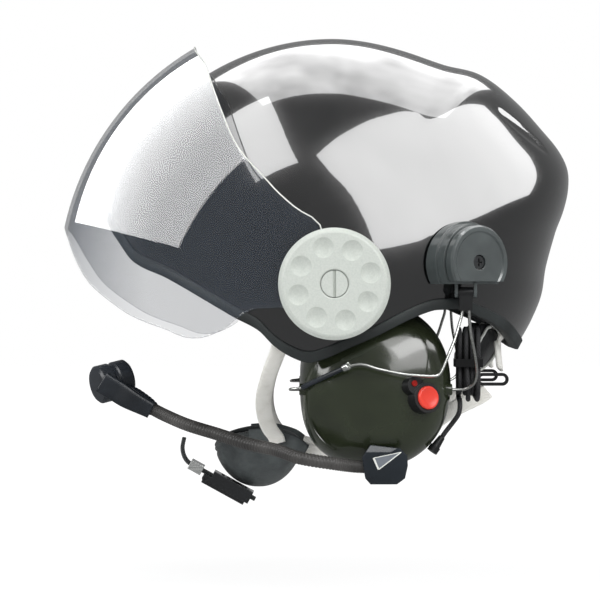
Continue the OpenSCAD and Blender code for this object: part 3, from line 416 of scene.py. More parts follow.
def hank_path():
    loops = LAYERS * LOOPS_IN_LAYER
    turns = [hank_point(i / LOOP_RINGS) for i in range(loops * LOOP_RINGS + 1)]
    side = (max(hank_base(a).x for a in range(0, 91, 5)) + LOOPS_IN_LAYER * HANK_STEP + CABLE_D / 2)
    foot = HANK_C + Vector((0, side + GAP + PLUG_R, -10))
    end = turns[-1]
    tail = [end, end + Vector((0, 4, 0)), end + Vector((-0.6, 9.5, 1.4)),
            end + Vector((-2.6, 14.5, 5)), foot - Vector((1, 0, 8)), foot - Vector((0, 0, 3.5)),
            foot - Vector((0, 0, GAP))]
    return [turns[0] - Vector((0, CABLE_D, 0))] + turns + smooth_route(tail, 2)[1:]


GLAND_R, GLAND_L = 3.4, 11


def lead_path(start):
    foot = rim_place(-50, GLAND_R + 2 * GAP)
    way = (rim_place(-30, GLAND_R) - rim_place(-50, GLAND_R)).normalized()
    end = foot + way * GLAND_L
    return smooth_route([end + way * GAP, end + way * 4, (73, -89.5, -84),
                         start + Vector((-1, -7.3, -9)), start + Vector((0, -7.6, -4.4)),
                         start + Vector((0, -5.6, -1.1)), start - Vector((0, 3, 0)),
                         start - Vector((0, GAP, 0))], 2)


def make_cable():
    """One cable: its lead from the gland, then the hank with its plug."""
    turns = hank_path()
    path = smooth_route(lead_path(turns[0])[:-1] + turns[1:], 2)
    cable = round_tube("braided_cable", path, CABLE_D / 2, 12)
    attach(cable, "left_cup")
    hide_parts("comm_lead", "comm_hank")
    run_lengths(path)[-1] * MM
    return cable


cable = make_cable()


# Materials: colour, roughness and relief come from nodes, in object coordinates or along the piece.
# The colours are 8 bit display colours.

def srgb(r, g, b):
    """Linear colour of an 8 bit display colour."""
    return tuple(((c / 255 + 0.055) / 1.055)**2.4 if c > 10 else c / 3295 for c in (r, g, b)) + (1,)


class Graph:
    """Shader nodes, added with their inputs and settings."""

    def __init__(self, tree):
        self.tree = tree

    def add(self, kind, inputs=None, **settings):
        node = self.tree.nodes.new("ShaderNode" + kind)
        for key, value in settings.items():
            setattr(node, key, value)
        for key, value in (inputs or {}).items():
            if isinstance(value, bpy.types.NodeSocket):
                self.tree.links.new(value, node.inputs[key])
            else:
                node.inputs[key].default_value = value
        return node

    def math(self, operation, a, b=0.0, clamp=False):
        return self.add("Math", {0: a, 1: b}, operation=operation, use_clamp=clamp).outputs[0]

    def spread(self, value, low, high, start=0.0, end=1.0):
        """The value from start to end, mapped to low to high."""
        return self.add("MapRange", {"Value": value, "From Min": start, "From Max": end, "To Min": low,
                                     "To Max": high}).outputs[0]

    def noise(self, scale, detail=4.0, rough=0.5, place=None):
        return self.add("TexNoise", {"Vector": place or self.place, "Scale": scale, "Detail": detail,
                                     "Roughness": rough}).outputs["Fac"]

    def stretched(self, x, y, z, place=None):
        return self.add("Mapping", {"Vector": place or self.place, "Scale": (x, y, z)}).outputs[0]

    def seen_white(self, in_gloss):
        """1 for rays from the camera or through clear pieces, in_gloss for reflected ones, else 0."""
        path = self.add("LightPath").outputs
        seen = self.math("MAXIMUM", path["Is Camera Ray"], path["Is Transmission Ray"])
        return self.math("ADD", seen, self.math("MULTIPLY", path["Is Glossy Ray"], in_gloss))


class Finish(Graph):
    """A Principled material under construction."""

    def __init__(self, name, rough=0.5, **sockets):
        self.material = bpy.data.materials.new(name)
        self.material.use_nodes = True
        super().__init__(self.material.node_tree)
        self.shader = self.tree.nodes["Principled BSDF"]
        self.shader.inputs["Roughness"].default_value = rough
        for key, value in sockets.items():
            self.shader.inputs[key.replace("_", " ")].default_value = value
        self.place = self.add("TexCoord").outputs["Object"]
        self.normal = None

    def cells(self, scale, feature="F1"):
        return self.add("TexVoronoi", {"Vector": self.place, "Scale": scale},
                        feature=feature).outputs["Distance"]

    def along(self):
        """Millimetres across and along a swept piece."""
        return self.add("UVMap", uv_map="along").outputs[0]

    def feed(self, key, value):
        self.tree.links.new(value, self.shader.inputs[key])

    def colour(self, fac, low, high, start=0.3, end=0.7):
        ramp = self.add("ValToRGB", {"Fac": fac})
        for element, place, colour in zip(ramp.color_ramp.elements, (start, end), (low, high)):
            element.position, element.color = place, srgb(*colour)
        self.feed("Base Color", ramp.outputs["Color"])

    def drive(self, key, fac, low, high, start=0.0, end=1.0):
        self.feed(key, self.spread(fac, low, high, start, end))

    def edges(self, radius):
        """Rounds hard edges in the shading."""
        self.normal = self.add("Bevel", {"Radius": radius}, samples=4).outputs[0]
        self.feed("Normal", self.normal)

    def relief(self, height, depth, strength=1.0):
        inputs = {"Height": height, "Distance": depth, "Strength": strength}
        if self.normal:
            inputs["Normal"] = self.normal
        self.normal = self.add("Bump", inputs).outputs[0]
        self.feed("Normal", self.normal)


def moulded(name, low, high, rough, grain=0.00003, edge=0.0004, **sockets):
    """Moulded plastic: fine pitting, faint handling marks and softened edges."""
    f = Finish(name, rough, **sockets)
    f.edges(edge)
    f.colour(f.noise(35, 3), low, high)
    marks = f.noise(140, 6, 0.7, f.stretched(1, 1, 0.25))
    f.drive("Roughness", marks, rough * 0.92, rough * 1.1)
    f.relief(f.noise(1400, 2), grain)
    return f.material


def painted_shell():
    """Gloss black lacquer with a faint orange peel."""
    f = Finish("gloss_lacquer", 0.2, Coat_Weight=1.0, Coat_Roughness=0.03, Coat_IOR=1.95,
               Specular_IOR_Level=0.5)
    f.colour(f.noise(9, 3), (6, 7, 8), (11, 13, 14))
    f.drive("Roughness", f.noise(60, 5, 0.65), 0.12, 0.25)
    f.relief(f.noise(7, 2), 0.006, 0.35)
    f.relief(f.noise(260, 2), 0.00001, 0.5)
    f.feed("Coat Normal", f.normal)
    return f.material


def satin_silver(name, rough=0.55):
    """Silver lacquer with fine speckle and softened edges."""
    f = Finish(name, rough, Metallic=0.12)
    f.edges(0.0005)
    f.colour(f.noise(900, 3), (192, 197, 190), (203, 207, 200))
    f.drive("Roughness", f.noise(80, 5, 0.7), rough * 0.9, rough * 1.1)
    f.relief(f.noise(1800, 2), 0.00001)
    return f.material


def brushed(name, low, high, rough=0.22):
    """Bright metal with fine drawing lines."""
    f = Finish(name, rough, Metallic=1.0)
    f.edges(0.0003)
    lines = f.noise(1, 4, 0.6, f.stretched(60, 2600, 2600))
    f.colour(lines, low, high)
    f.drive("Roughness", lines, rough * 0.7, rough * 1.5)
    f.relief(lines, 0.00001)
    return f.material


def leather(name, low, high, rough=0.42):
    """Soft synthetic leather: cell grain, creases and a dull shine."""
    f = Finish(name, rough, Specular_IOR_Level=0.45, Sheen_Weight=0.08)
    grain = f.cells(900, "SMOOTH_F1")
    f.colour(f.noise(70, 6, 0.65), low, high)
    f.drive("Roughness", f.noise(180, 4), rough * 0.8, rough * 1.25)
    f.relief(grain, 0.00012, 0.8)
    f.relief(f.noise(90, 5, 0.6), 0.0006, 0.6)
    return f.material


def cloth(name, low, high, pitch=900):
    """Plain woven lining with fuzz."""
    f = Finish(name, 0.85, Sheen_Weight=0.35, Sheen_Roughness=0.4)
    warp, weft = (f.add("TexWave", {"Vector": f.place, "Scale": pitch / 6.3, "Distortion": 0.6},
                        bands_direction=way).outputs["Fac"] for way in "XZ")
    weave = f.math("MULTIPLY", warp, weft)
    # The colour is darker in the gaps between the threads, a painted shade, with random tone from the
    # noise.
    f.colour(f.math("MULTIPLY", f.math("ADD", weave, 0.4), f.noise(60, 5, 0.7)), low, high, 0.1, 0.6)
    f.relief(weave, 0.0003)
    f.relief(f.noise(40, 4), 0.0006, 0.5)
    return f.material


def webbing(name, low, high, rough=0.7, depth=0.00035):
    """Woven strap: diagonal ribs that meet along the middle."""
    f = Finish(name, rough, Sheen_Weight=0.25)
    across, along, _ = f.add("SeparateXYZ", {0: f.along()}).outputs
    slant = f.math("ADD", f.math("MULTIPLY", f.math("ABSOLUTE", across), 0.9), along)
    ribs = f.math("SINE", f.math("MULTIPLY", slant, 5.2))
    threads = f.math("SINE", f.math("MULTIPLY", across, 9.5))
    weave = f.math("ADD", f.math("MULTIPLY", ribs, 0.3), f.math("MULTIPLY", threads, 0.2))
    height = f.math("ADD", weave, 0.5, True)
    # The colour is darker in the grooves between the ribs and threads, a painted shade, with random tone
    # from the noise.
    shade = f.math("MULTIPLY", f.math("ADD", height, 0.7), f.noise(120, 5, 0.6))
    f.colour(shade, low, high, 0.15, 0.6)
    f.relief(height, depth)
    return f.material


def braid():
    """Braided cable jacket: two sets of strands that cross as they wind round it."""
    f = Finish("braided_jacket", 0.48, Specular_IOR_Level=0.5)
    turn, along, _ = f.add("SeparateXYZ", {0: f.along()}).outputs
    around = f.math("MULTIPLY", turn, 2 * math.pi * 6)
    climb = f.math("MULTIPLY", along, 2.6)
    left = f.math("SINE", f.math("ADD", around, climb))
    right = f.math("SINE", f.math("SUBTRACT", around, climb))
    strands = f.math("MAXIMUM", left, right)
    height = f.math("ADD", f.math("MULTIPLY", strands, 0.5), 0.5, True)
    # The colour is darker in the gaps between the strands, a painted shade, with random tone from the
    # noise.
    f.colour(f.math("MULTIPLY", height, f.noise(90, 4)), (12, 12, 13), (58, 58, 60), 0.05, 0.6)
    f.relief(height, 0.0003)
    return f.material


def open_foam():
    f = Finish("open_foam", 0.95, Sheen_Weight=0.2)
    pores = f.cells(700)
    # The pores are painted darker, a painted shade in their hollows.
    f.colour(pores, (14, 14, 15), (58, 58, 58), 0.1, 0.6)
    f.relief(pores, 0.0006)
    return f.material


def clear_visor():
    """Clear polycarbonate with a hard coat: cold tint, darker where it is seen edge on, wiping marks."""
    f = Finish("clear_polycarbonate", 0.04, Coat_Weight=1.0, Coat_IOR=2.1, Coat_Roughness=0.01)
    facing = f.add("LayerWeight", {"Blend": 0.3}).outputs["Facing"]
    f.colour(f.noise(6, 2), (92, 106, 124), (102, 116, 134))
    f.drive("Alpha", facing, 0.13, 0.66, 0.1, 0.9)
    f.drive("Roughness", f.noise(30, 6, 0.7, f.stretched(1, 1, 5)), 0.02, 0.06)
    return f.material


def lens_red():
    f = Finish("red_lens", 0.08, Transmission_Weight=0.5, IOR=1.5)
    f.colour(f.noise(300, 2), (150, 18, 14), (200, 40, 30))
    f.relief(f.cells(1500), 0.00005)
    return f.material


MATERIALS = {
    "shell": painted_shell(),
    "trim": moulded("edge_rubber", (34, 38, 38), (50, 55, 55), 0.55, 0.00006),
    "liner": cloth("lining_cloth", (16, 16, 18), (44, 44, 47)),
    "padding": leather("pad_leather", (14, 15, 16), (34, 35, 37)),
    "chin_cup": leather("chin_leather", (56, 60, 61), (92, 98, 98), 0.46),
    "black_plastic": moulded("black_plastic", (14, 15, 16), (30, 31, 32), 0.38),
    "mount": moulded("mount_plastic", (60, 65, 65), (80, 86, 86), 0.26, 0.00001, 0.0007,
                     Coat_Weight=0.6, Coat_Roughness=0.08),
    "steel": brushed("dark_steel", (70, 72, 74), (130, 132, 133), 0.3),
    "bright_metal": brushed("bright_metal", (190, 192, 190), (238, 240, 238), 0.16),
    "spring_wire": brushed("spring_wire", (150, 152, 150), (225, 226, 222), 0.2),
    "tab_web": webbing("tab_webbing", (18, 20, 20), (52, 56, 56)),
    "white_strap": webbing("white_webbing", (214, 211, 198), (252, 250, 243)),
    # A pale finish for the neck roll's piping, and for the painted highlights along the visor's top edge
    # and the boom facet's edges.
    "piping_and_highlight": moulded("pale_piping", (206, 208, 200), (240, 241, 236), 0.3),
    "visor": clear_visor(),
    "knob": satin_silver("silver_knob"),
    "cup": moulded("olive_gloss", (33, 38, 25), (46, 52, 36), 0.16, 0.00001, 0.0006,
                   Coat_Weight=0.6, Coat_Roughness=0.06),
    "cushion": leather("cushion_leather", (12, 12, 13), (30, 30, 31), 0.36),
    "speaker": moulded("speaker_plastic", (44, 44, 47), (70, 70, 74), 0.5),
    "foam": open_foam(),
    "red_button": moulded("red_plastic", (214, 46, 34), (235, 72, 56), 0.28),
    "indicator": lens_red(),
    "boom_plastic": moulded("boom_plastic", (20, 25, 30), (36, 42, 48), 0.24, 0.00001,
                            0.0009),
    "gloss_black": moulded("gloss_black", (16, 18, 20), (30, 33, 36), 0.16, 0.00001, 0.0009,
                           Coat_Weight=1.0, Coat_Roughness=0.05),
    # Pale grey for the painted highlight on the boom block's bevelled facet.
    "boom_facet": moulded("boom_facet", (96, 101, 108), (120, 125, 132), 0.3),
    "gooseneck": moulded("gooseneck_coat", (44, 43, 42), (88, 86, 84), 0.36),
    "mic": moulded("mic_plastic", (24, 28, 33), (44, 49, 56), 0.3, 0.00002, 0.0008),
    "cable": braid(),
    "tie": moulded("tie_plastic", (12, 12, 13), (26, 26, 27), 0.3),
}


def paint(obj, slot):
    obj.data.materials.clear()
    obj.data.materials.append(MATERIALS[slot])


def settle(obj, body, slot, *stands_for, finish=None):
    """Gives a piece its body and its finish, which is the slot's material unless a finish is named, and
    hides the CAD nodes that it stands for.
    """
    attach(obj, body)
    if stands_for:
        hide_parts(*stands_for)
    paint(obj, finish or slot)
    return obj


def settle_pair(left, body, slot, *stands_for, finish=None):
    """Settles a piece of the left side, and its mirror image under the names of the right side."""
    right = mirrored(left, left.name.replace("left", "right"))
    settle(left, body, slot, *stands_for, finish=finish)
    settle(right, *(n.replace("left", "right") for n in (body, slot, *stands_for)), finish=finish)


# Shell, trim and liner

TRIM_LIP = TRIM_T + GAP
LEAF_ENDS = Vector((101.9, 109.7)), Vector((133.3, 83.9))
LEAF_HALF_W, LEAF_DEPTH = 2.6, 1.1


def leaf_dent(p):
    """Depth of the leaf shaped recess on the rear slope, by its place in the side view."""
    a, b = LEAF_ENDS
    way = b - a
    q = Vector((p.x, p.z)) - a
    t = q.dot(way) / way.length_squared
    if not 0 < t < 1:
        return 0
    half = LEAF_HALF_W * math.sqrt(4 * t * (1 - t))
    across = abs(q.x * way.y - q.y * way.x) / way.length
    return LEAF_DEPTH * smooth_step((1.1 - across / half) * 2.5)


def make_shell():
    shell = dome("shell_skin", 360, 120,
                 lambda phi: lifted(edge_psi(phi, SHELL_EDGE, 0), TRIM_LIP, phi, 0),
                 0, -SHELL_WALL, leaf_dent)
    settle(shell, "helmet", "shell", "outer_shell")
    g, t, h, wall = 0.25, TRIM_T, TRIM_H, -SHELL_WALL - 0.25
    phis = span(0, 359, 359)
    trim = band("trim_band", phis, [edge_psi(p, SHELL_EDGE, 0) for p in phis], [
        (g, h), (g + 0.6*t, h - 0.1), (g + t, h - 0.8), (g + t, 3), (g + t, 0.9), (g + 0.8*t, 0.25),
        (g, 0), (wall, 0), (wall - 0.8*t, 0.25), (wall - t, 0.9), (wall - t, h - 2.4),
        (wall - 0.6*t, h - 1.8), (wall, h - 1.4), (wall, t), (g, t)], closed=True)
    settle(trim, "helmet", "trim", "edge_trim")
    liner = dome("lining", 144, 44, lambda phi: edge_psi(phi, LINER_EDGE, LINER_OFF),
                 LINER_OFF, LINER_IN)
    settle(liner, "helmet", "liner", "impact_liner")


make_shell()


# Visor: a barrel turned about its axis, trimmed to a side outline, with a round boss at each pivot

VISOR_R, VISOR_WALL, VISOR_OUT, CHEEK_R, BOSS_R, BORE_R = CROWN_R + 17.7, 2.2, 127.4, 36, 30, 7.05
RIM_R = 0.4
VISOR_TOP = [(-88, 155), (-86.6, 147.8), (-79.2, 135.6), (-74.3, 121.9), (-67.8, 104.4), (-59.6, 85.5),
             (-51.7, 74.4), (-42.1, 64.1), (-31.9, 53.2), (-21.1, 44.2), (-9, 36), (-6.8, 27)]
VISOR_LOW = [(-172, 39.5), (-168, 33), (-161, 18), (-151.5, 2.7), (-136.3, -10.2), (-124.2, -18.1),
             (-114.8, -22.3), (-101.2, -27.1), (-90.2, -31.6), (-79.5, -31.8), (-70.2, -28.5),
             (-63, -24), (-51.6, -15.6), (-39.6, -13.8), (-24, -13)]


def polar_knots(outline):
    """Distance from the visor axis against angle above the brow, nearest first."""
    return [(math.hypot(x, z), math.degrees(math.atan2(z, -x))) for x, z in outline[::-1]]


def visor_stations():
    """Radius and half width along the barrel's section, from the boss to the middle of the brow."""
    rows = []
    for inset in (0, VISOR_WALL):
        big, wide = VISOR_R - inset, VISOR_OUT - inset
        flat = [(r, wide) for r in (BOSS_R - 0.3, (BOSS_R + CHEEK_R) / 2)]
        rows.append(flat + [(CHEEK_R + (big - CHEEK_R) * math.sin(a)**(2 / FORM),
                             wide * max(0, math.cos(a))**(2 / FORM))
                            for a in span(0, math.pi / 2, 44)])
    return list(zip(*rows))


def make_visor():
    low, top = polar_knots(VISOR_LOW), polar_knots(VISOR_TOP)
    across = [0, 0.004] + span(0.03, 0.97, 46) + [0.996, 1]

    def place(station, side, t, past=0):
        r, y = station
        a = math.radians(mix(along_curve(low, r), along_curve(top, r), t)) + past / r
        return Vector((-r * math.cos(a), side * y, r * math.sin(a)))

    half = visor_stations()
    stations = [(-1, pair) for pair in half] + [(1, pair) for pair in half[-2::-1]]
    rings = []
    for side, (outer, inner) in stations:
        middle = [(a + b) / 2 for a, b in zip(outer, inner)]
        rings.append([place(outer, side, t) for t in across] + [place(middle, side, 1, 0.5)]
                     + [place(inner, side, t) for t in across[::-1]] + [place(middle, side, 0, -0.5)])
    settle(skin("visor_skin", rings), "visor", "visor", "visor").visible_shadow = False
    # A pale tube along the visor's top edge: a painted highlight on the edge of the clear sheet.
    rim = [place((r + RIM_R, y), side, 1) for side, ((r, y), _) in stations]
    settle(round_tube("visor_edge_highlight", rim, RIM_R, 8), "visor", "visor", finish="piping_and_highlight")
    edge = [(BORE_R, VISOR_OUT), (BOSS_R - 0.4, VISOR_OUT), (BOSS_R - 0.4, VISOR_OUT - VISOR_WALL),
            (BORE_R, VISOR_OUT - VISOR_WALL)]
    boss = skin("visor_boss_left", [circle(OUT_LEFT * y, Vector((1, 0, 0)), Vector((0, 0, 1)), r, 72)
                                    for r, y in edge], closed=True)
    settle_pair(boss, "visor", "visor", "visor")


make_visor()


# Padding: each pad starts slightly small, is swollen by a cloth simulation, then gets its seams

PRESSURE, CLOTH_QUALITY, CLOTH_STEPS = 4, 4, 20
pads = []


def evaluated_mesh(obj):
    return bpy.data.meshes.new_from_object(obj.evaluated_get(bpy.context.evaluated_depsgraph_get()))


def add_pad(obj, voxel, cap, seam, body, slot, *stands_for):
    """Queues a pad for the simulation. seam(point) gives the inward pull at a point, in millimetres."""
    settle(obj, body, slot, *stands_for)
    remesh = obj.modifiers.new("remesh", "REMESH")
    remesh.mode, remesh.voxel_size, remesh.use_smooth_shade = "VOXEL", voxel * MM, True
    obj.data = evaluated_mesh(obj)
    obj.modifiers.clear()
    pads.append((obj, [v.co.copy() for v in obj.data.vertices], cap * MM, seam))


def swell_pads():
    for obj, *_ in pads:
        settings = obj.modifiers.new("cloth", "CLOTH").settings
        settings.use_pressure, settings.uniform_pressure_force = True, PRESSURE
        settings.effector_weights.gravity = 0
        settings.quality = CLOTH_QUALITY
    for step in range(CLOTH_STEPS):
        scene.frame_set(step + 1)
    for obj, rest, cap, _ in pads:
        mesh = evaluated_mesh(obj)
        obj.modifiers.clear()
        obj.data = mesh
        for v, start in zip(mesh.vertices, rest):
            move = v.co - start
            v.co = start + move * min(1, cap / max(move.length, 1e-9))
    scene.frame_set(1)
    for obj, *_, seam in pads:
        mesh = obj.data
        pulls = [v.normal * seam(v.co / MM) * MM for v in mesh.vertices]
        for v, pull in zip(mesh.vertices, pulls):
            v.co -= pull
        mesh.shade_smooth()
        smooth = obj.modifiers.new("smooth", "SUBSURF")
        smooth.levels = smooth.render_levels = 1


def groove(distance, width, depth):
    """Depth of a sewn channel at a distance from its line."""
    return depth * math.exp(-(distance / width)**2)


def make_crown_pad():
    pad = dome("crown_cushion", 72, 20, lambda phi: 58.6, LINER_IN - PAD_GAP - 0.8,
               LINER_IN - PAD_T + 1.2)

    def seam(p):
        lines = [abs(p.x * math.sin(a) - p.y * math.cos(a)) for a in (0, math.pi / 3, 2 * math.pi / 3)]
        return groove(min(lines), 2.6, 1.6)

    add_pad(pad, 4, 1.0, seam, "helmet", "padding", "crown_pad")


def make_brow_pad():
    n, back = 96, LINER_IN - PAD_GAP - 0.6
    phis = span(-63, 63, n)
    rings = []
    for i, phi in enumerate(phis):
        fat = min(1, 0.4 + min(i, n - i) * 0.06)
        front, low = back - (PAD_T - 1.4) * fat, edge_psi(phi, LINER_EDGE, LINER_OFF)
        middle = (back + front) / 2
        rings.append([form_point(phi, lifted(low, h, phi, off), off) for off, h in (
            (back, 27), (back, 15), (back, 4), (middle, 1), (front, 6), (front - 0.6*fat, 15),
            (front, 24), (middle, 29))])
    pad = skin("brow_cushion", rings)

    def seam(p):
        phi = math.degrees(math.atan2(p.y, -p.x))
        return groove(abs((phi + 10.5) % 21 - 10.5) * 1.9, 2.2, 1.3)

    add_pad(pad, 4, 0.9, seam, "helmet", "padding", "brow_pad")


ROLL_T = 15
ROLL_MID = -SHELL_WALL - TRIM_T - 4 * GAP - STRAP_T - ROLL_T / 2
ROLL_LOW = [(-200, NAPE_Z - 13), (200, NAPE_Z - 13)]


def roll_ring(phi, i, n, sides, swell=0.0):
    full = min(1, 0.5 + min(i, n - i) * 0.07)
    low = edge_psi(phi, ROLL_LOW, ROLL_MID)
    top = edge_psi(phi, LINER_EDGE, LINER_OFF) - 0.8
    c, h = (low + top) / 2, (top - low) / 2 * (0.75 + 0.25 * full)
    return [form_point(phi, c + (h + swell * 0.5) * math.cos(a),
                       ROLL_MID + (ROLL_T / 2 * full + swell) * math.sin(a)) for a in turns(sides)]


def make_neck_roll():
    n = 90
    phis = span(147.6, 212.4, n)
    roll = skin("neck_cushion", [roll_ring(phi, i, n, 28, -0.7) for i, phi in enumerate(phis)])

    def seam(p):
        phi = math.degrees(math.atan2(-p.y, -p.x)) % 360
        return groove(abs((phi - 180 + 7.25) % 14.5 - 7.25) * 2, 2.4, 1.2)

    add_pad(roll, 4, 0.8, seam, "helmet", "padding", "neck_roll")
    oval = []
    for k in range(65):
        turn = 2 * math.pi * k / 64
        i = 14 - 12.5 * math.cos(turn)
        phi = mix(phis[0], phis[-1], i / n)
        ring = roll_ring(phi, i, n, 72, 0.3)
        oval.append(ring[round(18 - 13.5 * math.sin(turn)) % 72])
    # The piping round the neck roll; its pale colour also paints the highlight along the pad's edge.
    left = round_tube("neck_piping_left", smooth_route(oval, 2), 0.95, 10)
    settle_pair(left, "helmet", "white_strap", finish="piping_and_highlight")


CUSHION_T, CUSHION_W = 15, 17


def make_cushions():
    mid, back = 0.97 - CUSHION_W / (2 * CUP_A), -GAP - 0.3
    rings = []
    for a in turns(144):
        r = mid * cup_reach(a)
        ring = []
        for w in turns(24, 0.5):
            z = back - CUSHION_T / 2 + math.sin(w) * (CUSHION_T / 2 - 0.6)
            pull = 0.82 if z > back - 3 else 1
            x = r + math.cos(w) * (CUSHION_W / 2 - 0.7) * pull
            ring.append(cup_place(x * math.cos(a), x * math.sin(a), z))
        rings.append(ring)
    left = skin("left_cushion_ring", rings, closed=True)
    right = mirrored(left, "right_cushion_ring")

    def seam(p):
        x, y, z = p.x - CUP_X, p.z - CUP_Z, -(CUP_Y - abs(p.y))
        a = math.atan2(y, x)
        inward = 1 - math.hypot(x, y) / (mid * cup_reach(a))
        folds = max(0, inward) * 1.6 * (0.5 + 0.5 * math.sin(a * 40)) * smooth_step(inward * 6)
        return folds + groove(inward + 0.24, 0.03, 0.7)

    add_pad(left, 4, 0.9, seam, "left_cup", "cushion", "left_ear_cushion")
    add_pad(right, 4, 0.9, seam, "right_cup", "cushion", "right_ear_cushion")


make_crown_pad()
make_brow_pad()
make_neck_roll()
make_cushions()
swell_pads()


# Ear cups

CUP_STEPS, FLATS_FROM, GROOVE_H = 180, 20, 6.4
REACH_SCALE = 40


def soft_min(a, b, blend):
    h = min(1, max(0, 0.5 + 0.5 * (b - a) / blend))
    return mix(b, a, h) - blend * h * (1 - h)


def cup_height(x, y, h):
    """Height of the cup's skin where its profile has the height h: two planes flatten the crown."""
    if h <= FLATS_FROM:
        return h
    first = (x * 0.94 + y * 0.34) * 0.62 + 49.5
    second = (x * 0.8 + y * 0.6) * 0.95 + 62
    return max(h / 2, soft_min(soft_min(h, first, 0.5), second, 0.5))


def cup_profile():
    """Points of the cup's profile with a moulded parting groove and a soft crown."""
    fine = smooth_route([(reach * REACH_SCALE, h, 0) for reach, h in CUP_PROFILE], 6)
    ring = [(p.x / REACH_SCALE, p.y) for p in fine]
    return ([(r - groove(h - GROOVE_H, 0.45, 0.011), h) for r, h in ring]
            + [(0.1, CUP_D), (0.02, CUP_D)])


def make_cup_skin():
    rings = []
    for s, h in cup_profile():
        ring = []
        for a in turns(CUP_STEPS):
            x, y = s * cup_reach(a) * math.cos(a), s * cup_reach(a) * math.sin(a)
            ring.append(cup_place(x, y, CUP_BASE + cup_height(x, y, h)))
        rings.append(ring)
    settle_pair(skin("left_cup_skin", rings), "left_cup", "cup", "left_ear_cup")


BOOM_X, BOOM_Z, BOOM_FACE_Y, BOSS_BACK_Y = 33, -108, 114.8, 89.5
TILT_Y, TILT_Z = 97, -64


def make_cup_fittings():
    for end, name in ((-1, "front"), (1, "rear")):
        foot = (CUP_X + end * (CUP_A - 8.5), -TILT_Y, TILT_Z)
        settle_pair(lathe(f"left_cup_boss_{name}", foot, (end, 0, 0), rounded(3.6, 9, 0.8)),
                    "left_cup", "cup")
    pillar = lathe("left_cup_boom_pillar", (BOOM_X, -BOSS_BACK_Y, BOOM_Z), OUT_LEFT,
                   rounded(8.5, BOOM_FACE_Y - GAP - BOSS_BACK_Y, 0.7))
    pin = lathe("left_cup_boom_pin", (BOOM_X, -BOOM_FACE_Y + 2, BOOM_Z), OUT_LEFT, rounded(3, 10.4, 0.5))
    settle(pillar, "left_cup", "cup")
    settle(pin, "left_cup", "steel")
    disc = lathe("left_foam_disc", cup_place(0, 0, -GAP), cup_place(0, 0, -1) - cup_place(0, 0, 0),
                 [(0.05, 0), (21.4, 0.1), (22, 0.8), (22, 2), (21, 2.8), (14, 3), (0.05, 3)])
    settle_pair(disc, "left_cup", "foam", "left_foam")


make_cup_skin()
make_cup_fittings()


# Spring wires

WIRE_R = 0.95
STEM_BOTTOM = -16
FRONT_PIN_X, REAR_PIN_X = CUP_X - CUP_A, CUP_X + CUP_A
FRONT_WIRE = [
    (77.4, -109, STEM_BOTTOM + 4.5), (77.4, -109, STEM_BOTTOM - 1.5),
    (75.6, -110.5, -24), (72.8, -113.5, -33), (69, -117, -42), (65.2, -119.5, -51),
    (62.6, -120.5, -54.6), (58.5, -121, -55.3), (51.5, -121.3, -55), (41, -121.6, -54),
    (26.5, -121.6, -51), (16, -121, -48.2), (6, -119, -50.5), (-8, -112, -57),
    (-19, -103, -62.5), (FRONT_PIN_X - 5.2, -98.6, TILT_Z + 0.3),
    (FRONT_PIN_X - 5, -TILT_Y, TILT_Z), (FRONT_PIN_X + 2.6, -TILT_Y, TILT_Z)]
REAR_WIRE = [
    (81.6, -109, STEM_BOTTOM + 4.5), (81.6, -109, STEM_BOTTOM - 1.5),
    (82.5, -108.4, -29), (85, -107, -42), (86.4, -104.5, -53), (85, -101, -60),
    (80.5, -98, TILT_Z + 0.6), (REAR_PIN_X + 5, -TILT_Y, TILT_Z),
    (REAR_PIN_X - 2.6, -TILT_Y, TILT_Z)]


def make_bails():
    for name, route in (("left_wire_front", FRONT_WIRE), ("left_wire_rear", REAR_WIRE)):
        settle_pair(round_tube(name, smooth_route(route, 8), WIRE_R),
                    "left_bail", "spring_wire", "left_bail")
    start, end = (Vector(FRONT_WIRE[i]) for i in (12, 14))
    rod = round_tube("left_wire_sleeve", smooth_route(FRONT_WIRE[12:15], 8), WIRE_R + 0.6, 14)
    t = (end - start).normalized()
    u = t.cross(OUT_LEFT).normalized()
    coil = [start + t * (k * 0.055 - 3.4)
            + (u * math.cos(k * 0.42) + t.cross(u) * math.sin(k * 0.42)) * 1.9 for k in range(62)]
    knuckle = round_tube("left_wire_knuckle", coil, 0.75, 8)
    settle_pair(rod, "left_bail", "spring_wire", finish="mic")
    settle_pair(knuckle, "left_bail", "spring_wire", finish="bright_metal")


make_bails()


# Chin cup, straps and buckle

CHIN_AT = Vector((-47, 0, -95))
CHIN_A, CHIN_B, CHIN_C, CHIN_WALL = 29, 44, 34, 5
ON_CUP = STRAP_T / 2 + 2 * GAP
STRAP_IN = SHELL_WALL + TRIM_T + 2 * GAP + STRAP_T / 2
WING_T = 3
WING = [Vector(p) for p in ((-52, -42.2, -97), (-44, -43.2, -96.5), (-36, -44.6, -97),
                            (-26, -46.8, -100), (-17, -48.6, -104.5))]


def chin_point(a, e, off):
    a, e = math.radians(a), math.radians(e)
    k = super_radius(math.cos(a), math.sin(a), 3) * math.cos(e)
    return CHIN_AT + Vector(((CHIN_A + off) * math.cos(a) * k, (CHIN_B + off) * math.sin(a) * k,
                             (CHIN_C + off) * math.sin(e)))


def chin_lip(a):
    return -14 + 16 * math.sin(math.radians(a))**2


